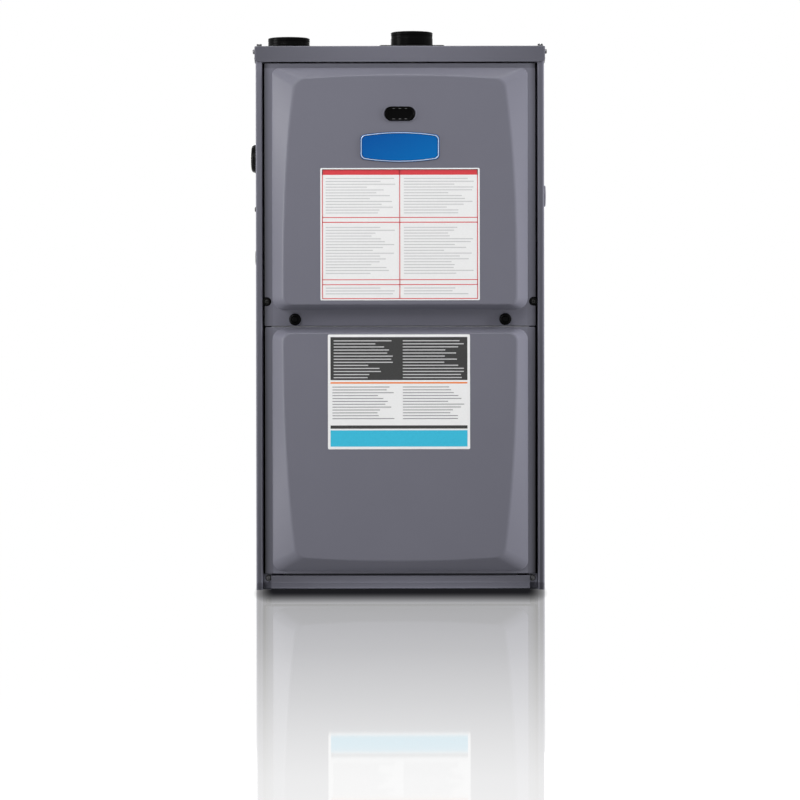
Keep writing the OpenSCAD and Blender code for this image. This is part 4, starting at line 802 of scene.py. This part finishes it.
sheet_y = plateau_y - 0.18
upper_half_w, upper_half_h, upper_mid = 122.2, 101.4, 547.4
ups = np.random.default_rng(4)
across, upright = (-119.5, 119.5), (-99.4, 99.4)
frame_lines = [[*across, 98.2, 99.4], [*across, -99.4, -98.2], [-119.5, -118.3, *upright],
               [118.3, 119.5, *upright], [-1.0, 0.2, *upright]]
red_bars = [[*across, low, high] for low, high in
            ((91.0, 99.4), (17.5, 18.9), (25.0, 26.2), (-70.5, -69.3), (-78.0, -76.8))]
grey_rows = np.vstack([ruled(left, right, top, 4.4, 1.3, ups.uniform(0.55, 1.0, count))
                       for top, count in ((86, 13), (11, 17), (-82, 3))
                       for left, right in ((-114, -6), (6, 114))])
base_upper = plug_of([level(outline(-upper_half_h, upper_half_h, upper_half_w, 2, 2) + (0, upper_mid), y)
                      for y in (plateau_y, sheet_y)])
piece("upper_print", [[base_upper], [marks(frame_lines + red_bars, sheet_y, z0=upper_mid)],
                      [marks(grey_rows, sheet_y, z0=upper_mid)]],
      "upper_door", [print_white, print_red, print_pale], ["upper_print_sheet"])

lower_mid, lower_x = 305.6, -2.0
los = np.random.default_rng(9)
base_lower = plug_of([level(outline(-88, 88, 109, 2, 2) + (lower_x, lower_mid), y)
                      for y in (plateau_y, sheet_y)])
dark_fields = [[-105, 105, 18, 84], [-105, 105, -56.5, -51.5]]
orange_lines = [[-105, 105, 12.6, 15.0]]
cyan_bands = [[-105, 105, -84, -59]]
white_rows = np.vstack([ruled(left, right, 79, 4.7, 1.5, los.uniform(0.55, 1.0, 13))
                        for left, right in ((-100, -6), (6, 100))])
grey_fine = np.vstack([ruled(left, right, 8, 4.4, 1.2, los.uniform(0.7, 1.0, 12))
                       for left, right in ((-102, -6), (6, 102))])
inks = [(dark_fields, 0.06), (orange_lines, 0.06), (cyan_bands, 0.06), (white_rows, 0.11),
        (grey_fine, 0.11)]
piece("lower_print", [[base_lower]] + [[marks(rows, sheet_y, up, lower_x, lower_mid)] for rows, up in inks],
      "lower_door",
      [print_white, print_dark, print_orange, print_cyan, print_pale, print_grey], ["lower_print_sheet"])


# ---- knobs and locators ----

def knob_skin(x):
    """Head of a quarter-turn knob: sloping shoulder and a sunk ring round a raised button."""
    y = front_y
    head = rounded([(0, y - 0.3, 0), (9.25, y - 0.3, 0.4), (9.25, y - 3.4, 1.6), (7.2, y - 6.6, 1.6),
                    (5.6, y - 6.6, 0.4), (5.2, y - 5.4, 0.4), (4.6, y - 5.4, 0.4), (4.2, y - 7.3, 0.8),
                    (0, y - 7.3, 0)])
    return lathe(head, "y", (x, 0, knob_z), 72)


for hand, sign in sides:
    x = sign * knob_x
    slot_cut = slabs([[x - 1.0, x + 1.0, front_y - 8, front_y - 6.2, knob_z - 3.6, knob_z + 3.6]])
    pin = rod("y", (x, 0, knob_z), (front_y - 0.35, -334.65), 3.0)
    tongue = slabs([[x - 2.5, x + 2.5, -334.66, -332.65, knob_z - 8.5, knob_z + 8.5]])
    piece(f"knob_head_{hand}", [[knob_skin(x)]], f"knob_{hand}", [black_plastic],
          [f"knob_{hand}"], cuts=[slot_cut])
    piece(f"knob_pin_{hand}", [[pin, tongue]], f"knob_{hand}", [black_plastic])


# ---- door locators and screws ----

locator_profile = rounded([(0, ledge_y - 0.2, 0), (6.3, ledge_y - 0.2, 0), (6.3, front_y + 1.2, 1.0),
                           (4.4, front_y - 0.2, 1.2), (3.4, front_y + 0.6, 0.4), (0, front_y + 0.6, 0)])
pin_profile = rounded([(0, front_y + 1.4, 0), (2.9, front_y + 1.4, 0), (2.9, front_y + 0.2, 0.6),
                       (0, front_y - 0.3, 0)])
for hand, sign in sides:
    x, y = sign * locator_x, front_y - 0.9
    cross = [slabs([[x - a, x + a, y, y + 1.9, locator_z - b, locator_z + b]])
             for a, b in ((0.45, 2.2), (2.2, 0.45))]
    piece(f"door_locator_{hand}", [[lathe(locator_profile, "y", (x, 0, locator_z), 64)]], "cabinet",
          [black_plastic], ["door_locators"] if sign < 0 else ())
    piece(f"locator_pin_{hand}", [[lathe(pin_profile, "y", (x, 0, locator_z), 40)]], "cabinet",
          [screw_black], cuts=cross)


def screw_head(centre, axis, way):
    """Hex washer head: a dished washer, a hexagon with a chamfered top. way is 1 or -1 along the
    axis. Its second part is the slot's cutter."""
    dish = [(0, -0.1), (5.0, -0.1), (5.0, 0.45), (4.4, 0.9), (3.2, 0.8), (0, 0.8)]
    prism = [(0, 0.5), (4.0, 0.5), (4.0, 2.9), (3.6, 3.5), (2.6, 3.7), (0, 3.7)]
    parts = [lathe([(r, way * h) for r, h in dish], axis, centre, 40),
             lathe([(r, way * h) for r, h in prism], axis, centre, 6)]
    run = {"x": (0, 1, 2), "y": (1, 0, 2), "z": (2, 0, 1)}[axis]
    box = np.zeros(6)
    for place, (low, high) in zip(run, (sorted((way * 2.3, way * 5.0)), (-0.55, 0.55), (-4.6, 4.6))):
        box[2 * place:2 * place + 2] = centre[place] + low, centre[place] + high
    return parts, slabs([box])


screw_spots = [((s * (half_w - 5.4), front_y + 6.5, case_h), "z", 1) for s in (-1, 1)]
screw_spots += [((s * cap_x, y, case_h - 6.5), "x", s)
                for s in (-1, 1) for y in (front_y + 30, back_y - 60)]
screw_spots += [((s * 203.5, ledge_y - 1.0, 17.4), "y", -1) for s in (-1, 1)]
screw_spots += [((-half_w, wall_hole_y, (gas_z + power_z) / 2 - 2), "x", -1)]
heads = [screw_head(*spot) for spot in screw_spots]
piece("screw_heads", [[part for parts, _ in heads[:-1] for part in parts], heads[-1][0]], "cabinet",
      [screw_zinc, screw_black], ["cabinet_screws"], cuts=[slot for _, slot in heads])


# ---- couplings and plugs ----

def coupling(x, top, flange_z, bore_floor):
    """Rubber coupling: straight wall, shallow clamp groove, rolled mouth and a bore that ends on
    a stop with the pipe's passage through it."""
    r, bore = 33.0, 30.2
    return lathe(rounded([(bore - 3, bore_floor, 0), (bore, bore_floor, 0.4), (bore, top, 0.8),
                          (r, top, 1.6), (r, top - 5.2, 0.4), (r - 0.3, top - 5.8, 0.3),
                          (r - 0.3, top - 9.5, 0.3), (r, top - 10.1, 0.4), (r, flange_z, 0),
                          (bore - 3, flange_z, 0), (bore - 3, bore_floor, 0)]), "z", (x, coupling_y, 0), 96)


intake_foot = lathe(rounded([(30.0, 840.2, 0), (35.0, 840.2, 0.5), (37.0, 838.9, 0.5), (37.0, 838.2, 0),
                             (33.0, 838.2, 0), (33.0, 815.2, 0), (27.2, 815.2, 0), (27.2, 820.2, 0),
                             (30.0, 820.2, 0), (30.0, 840.2, 0)], 3), "z", (intake_x, coupling_y, 0), 96)
piece("intake_collar", [[coupling(intake_x, 858.2, 839.0, 820.2), intake_foot]], "cabinet",
      [black_rubber], ["intake_coupling"])


plate_x, plate_y = 52.5, 40


def plate_ring(inset, z):
    """Rounded rectangle round the vent coupling's axis, at height z."""
    flat = outline(inset - plate_y, plate_y - inset, plate_x - inset, 5, 5)
    return np.stack([flat[:, 0] + vent_x, flat[:, 1] + coupling_y, np.full(len(flat), z)], 1)


def collar_ring(radius, z):
    """Circle of the plate's own number of points, each on the ray of its plate point."""
    spots = plate_ring(0, z) - (vent_x, coupling_y, 0)
    spots[:, :2] *= radius / np.linalg.norm(spots[:, :2], axis=1)[:, None]
    return spots + (vent_x, coupling_y, 0)


plate_bore = 30.45
plate_rings = [collar_ring(plate_bore, case_h), plate_ring(0, case_h), plate_ring(0, 841.2),
               plate_ring(0.5, 843.0), plate_ring(2.4, 844.7), collar_ring(36.0, 844.7),
               collar_ring(34.4, 845.6), collar_ring(plate_bore, 846.4), collar_ring(plate_bore, case_h)]
piece("vent_collar", [[coupling(vent_x, 867.2, 840.0, 844.5)]], "cabinet", [black_rubber],
      ["vent_coupling"])
piece("vent_plate", [[surface(np.array(plate_rings), wrap=True)]], "cabinet",
      [black_rubber])

large_plug = rounded([(0, -218.5, 0), (20.2, -218.5, 0), (20.2, -half_w, 0), (26.0, -half_w, 0),
                      (26.0, -half_w - 1.2, 0.6), (22.4, -half_w - 2.4, 0.8), (21.4, -half_w - 6.4, 2.2),
                      (18.2, -half_w - 8.6, 2.0), (12.0, -half_w - 9.3, 3.0), (0, -half_w - 9.4, 0)])
small_plug = rounded([(0, -218.5, 0), (10.9, -218.5, 0), (10.9, -half_w, 0), (12.1, -half_w, 0),
                      (12.1, -half_w - 1.2, 0.6), (10.8, -half_w - 2.5, 0.8), (0, -half_w - 2.2, 0)])
piece("wall_plugs", [[lathe(large_plug, "x", (0, wall_hole_y, gas_z)),
                      lathe(small_plug, "x", (0, wall_hole_y, power_z))]],
      "cabinet", [black_plastic], ["hole_plugs"])


# ---- frame nodes that keep their shape ----

kept = [
    (cabinet_paint, ["back_panel"]),
    (galvanised, ["base_pan", "divider_rail", "blower_deck", "vestibule_panel", "blower_housing",
                  "blower_rails", "motor_bracket", "control_plate", "junction_box"]),
    (foil_pad, ["insulation"]),
    (black_rubber, ["rubber_tubes"]),
    (black_plastic, ["collector_box", "inducer_housing", "inducer_wheel", "inducer_fan", "condensate_trap",
                     "pressure_switches", "gas_valve_knob", "door_switch_plunger"]),
    (box_steel, ["burner_box", "burner_cover"]),
    (burner_steel, ["burners", "rear_header", "blower_wheel", "blower_shaft"]),
    (black_pipe, ["gas_manifold"]),
    (orifice_brass, ["gas_orifices"]),
    (valve_cast, ["gas_valve"]),
    (ceramic_body, ["igniter", "flame_sensor", "limit_switches"]),
    (reset_red, ["rollout_button_left", "rollout_button_right"]),
    (exchanger_steel, ["exchanger_tubes"]),
    (fin_metal, ["secondary_coil"]),
    (motor_paint, ["inducer_motor", "blower_motor"]),
    (pvc, ["vent_pipe", "intake_pipe", "door_switch"]),
    (board_green, ["control_board"]),
    (transformer_core, ["transformer"]),
]
for finish, names in kept:
    for name in names:
        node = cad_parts.get(name)
        if node is not None:
            node.data.materials.clear()
            node.data.materials.append(finish)


# ---- floor, light ----

def floor_finish():
    """Pale studio floor: white, with a mirror image that weakens away from the object and a
    soft contact shadow. away is the distance in plan from the object's footprint; the shadow
    reaches out ahead and falls off steeply at the sides and behind."""
    finish = Finish("studio_floor")
    x, y = finish.axis("x"), finish.axis("y")
    steep = 6.7
    side = x.maths("MAXIMUM", x.maths("ABSOLUTE", x) - 0.22, 0.0)
    deep = y.maths("MAXIMUM", y.maths("ABSOLUTE", y) - 0.35, 0.0)
    away = (side * side + deep * deep) ** 0.5
    stops = [(0.0, 0.66), (0.17, 0.62), (0.30, 0.55), (0.48, 0.40), (0.68, 0.19), (1.0, 0.04)]
    fading = {"stops": [(at, (k, k, k)) for at, k in stops]}
    mirror = finish.add("ShaderNodeValToRGB", fading, {0: away / 3.0})
    edge = x.maths("MAXIMUM", x.maths("ABSOLUTE", x) - 0.19, 0.0) * steep
    ahead = y.maths("MAXIMUM", y * -1.0 - 0.35, 0.0)
    behind = y.maths("MAXIMUM", y - 0.34, 0.0) * steep
    around = (edge * edge + ahead * ahead + behind * behind) ** 0.5
    lit = ((around - 0.05) / 0.185).clip() ** 1.8
    white = finish.add("ShaderNodeEmission", None, {0: (1.0, 1.0, 1.0), 1: 1.0})
    image = finish.add("ShaderNodeBsdfGlossy", None, {"Color": (1.0, 1.0, 1.0), "Roughness": 0.03})
    shade = finish.add("ShaderNodeEmission", None, {0: (0.012, 0.012, 0.014), 1: 1.0})
    sheen = finish.add("ShaderNodeMixShader", None, {0: mirror, 1: white, 2: image})
    whole = finish.add("ShaderNodeMixShader", None, {0: lit, 1: shade, 2: sheen})
    finish.tree.links.new(whole.socket, finish.tree.nodes["Material Output"].inputs[0])
    finish.tree.nodes.remove(finish.shader)
    return finish.material


reach = 30.0
ground = bpy.data.meshes.new("studio_floor")
corners = [(-reach, -reach, 0), (reach, -reach, 0), (reach, reach, 0), (-reach, reach, 0)]
ground.from_pydata(corners, [], [(0, 1, 2, 3)])
ground.materials.append(floor_finish())
floor = bpy.data.objects.new("studio_floor", ground)
floor.visible_diffuse = False
bpy.context.scene.collection.objects.link(floor)

# White to the camera and in reflections, a dim fill for everything else.
world = bpy.data.worlds.new("studio")
world.use_nodes = True
bpy.context.scene.world = world
tree = world.node_tree
tree.nodes.clear()
rays = tree.nodes.new("ShaderNodeLightPath")
backdrop = tree.nodes.new("ShaderNodeBackground")
backdrop.inputs[0].default_value = (1, 1, 1, 1)
backdrop.inputs[1].default_value = 1.0
fill = tree.nodes.new("ShaderNodeBackground")
fill.inputs[0].default_value = (0.95, 0.97, 1.0, 1)
fill.inputs[1].default_value = 0.07
pick = tree.nodes.new("ShaderNodeMixShader")
end = tree.nodes.new("ShaderNodeOutputWorld")
seen = tree.nodes.new("ShaderNodeMath")
seen.operation = "MAXIMUM"
tree.links.new(rays.outputs["Is Camera Ray"], seen.inputs[0])
tree.links.new(rays.outputs["Is Glossy Ray"], seen.inputs[1])
tree.links.new(seen.outputs[0], pick.inputs[0])
tree.links.new(fill.outputs[0], pick.inputs[1])
tree.links.new(backdrop.outputs[0], pick.inputs[2])
tree.links.new(pick.outputs[0], end.inputs[0])


def softbox(name, spot, aim, size, power):
    """Rectangular area light at spot, turned to face aim and never seen by the camera."""
    data = bpy.data.lights.new(name, "AREA")
    data.shape = "RECTANGLE"
    data.size, data.size_y = size
    data.energy = power
    lamp = bpy.data.objects.new(name, data)
    lamp.location = spot
    away = np.asarray(aim, float) - np.asarray(spot, float)
    yaw = np.arctan2(away[1], away[0])
    tilt = np.arctan2(np.hypot(away[0], away[1]), -away[2])
    lamp.rotation_euler = (tilt, 0.0, yaw - np.pi / 2)
    lamp.visible_camera = False
    lamp.visible_glossy = name not in ("light_foot", "light_right")
    bpy.context.scene.collection.objects.link(lamp)


softbox("light_left", (-2.8, -0.75, 0.85), (0, -0.3, 0.5), (1.0, 1.6), 54)
softbox("light_right", (2.8, -0.75, 0.95), (0, -0.3, 0.55), (1.0, 1.6), 112)
softbox("light_near", (-1.0, -1.7, 1.6), (-0.1, -0.35, 0.75), (0.8, 0.8), 17)
softbox("light_top", (0.0, -0.9, 3.0), (0, -0.2, 0.4), (2.2, 2.0), 42)
softbox("light_foot", (0.0, -1.54, 0.01), (0, -1.54, 3.0), (3.0, 2.3), 15)
softbox("light_back", (0.0, 3.8, 1.8), (0, 0, 0.45), (3.0, 2.0), 80)

bpy.context.scene.view_settings.view_transform = "Standard"
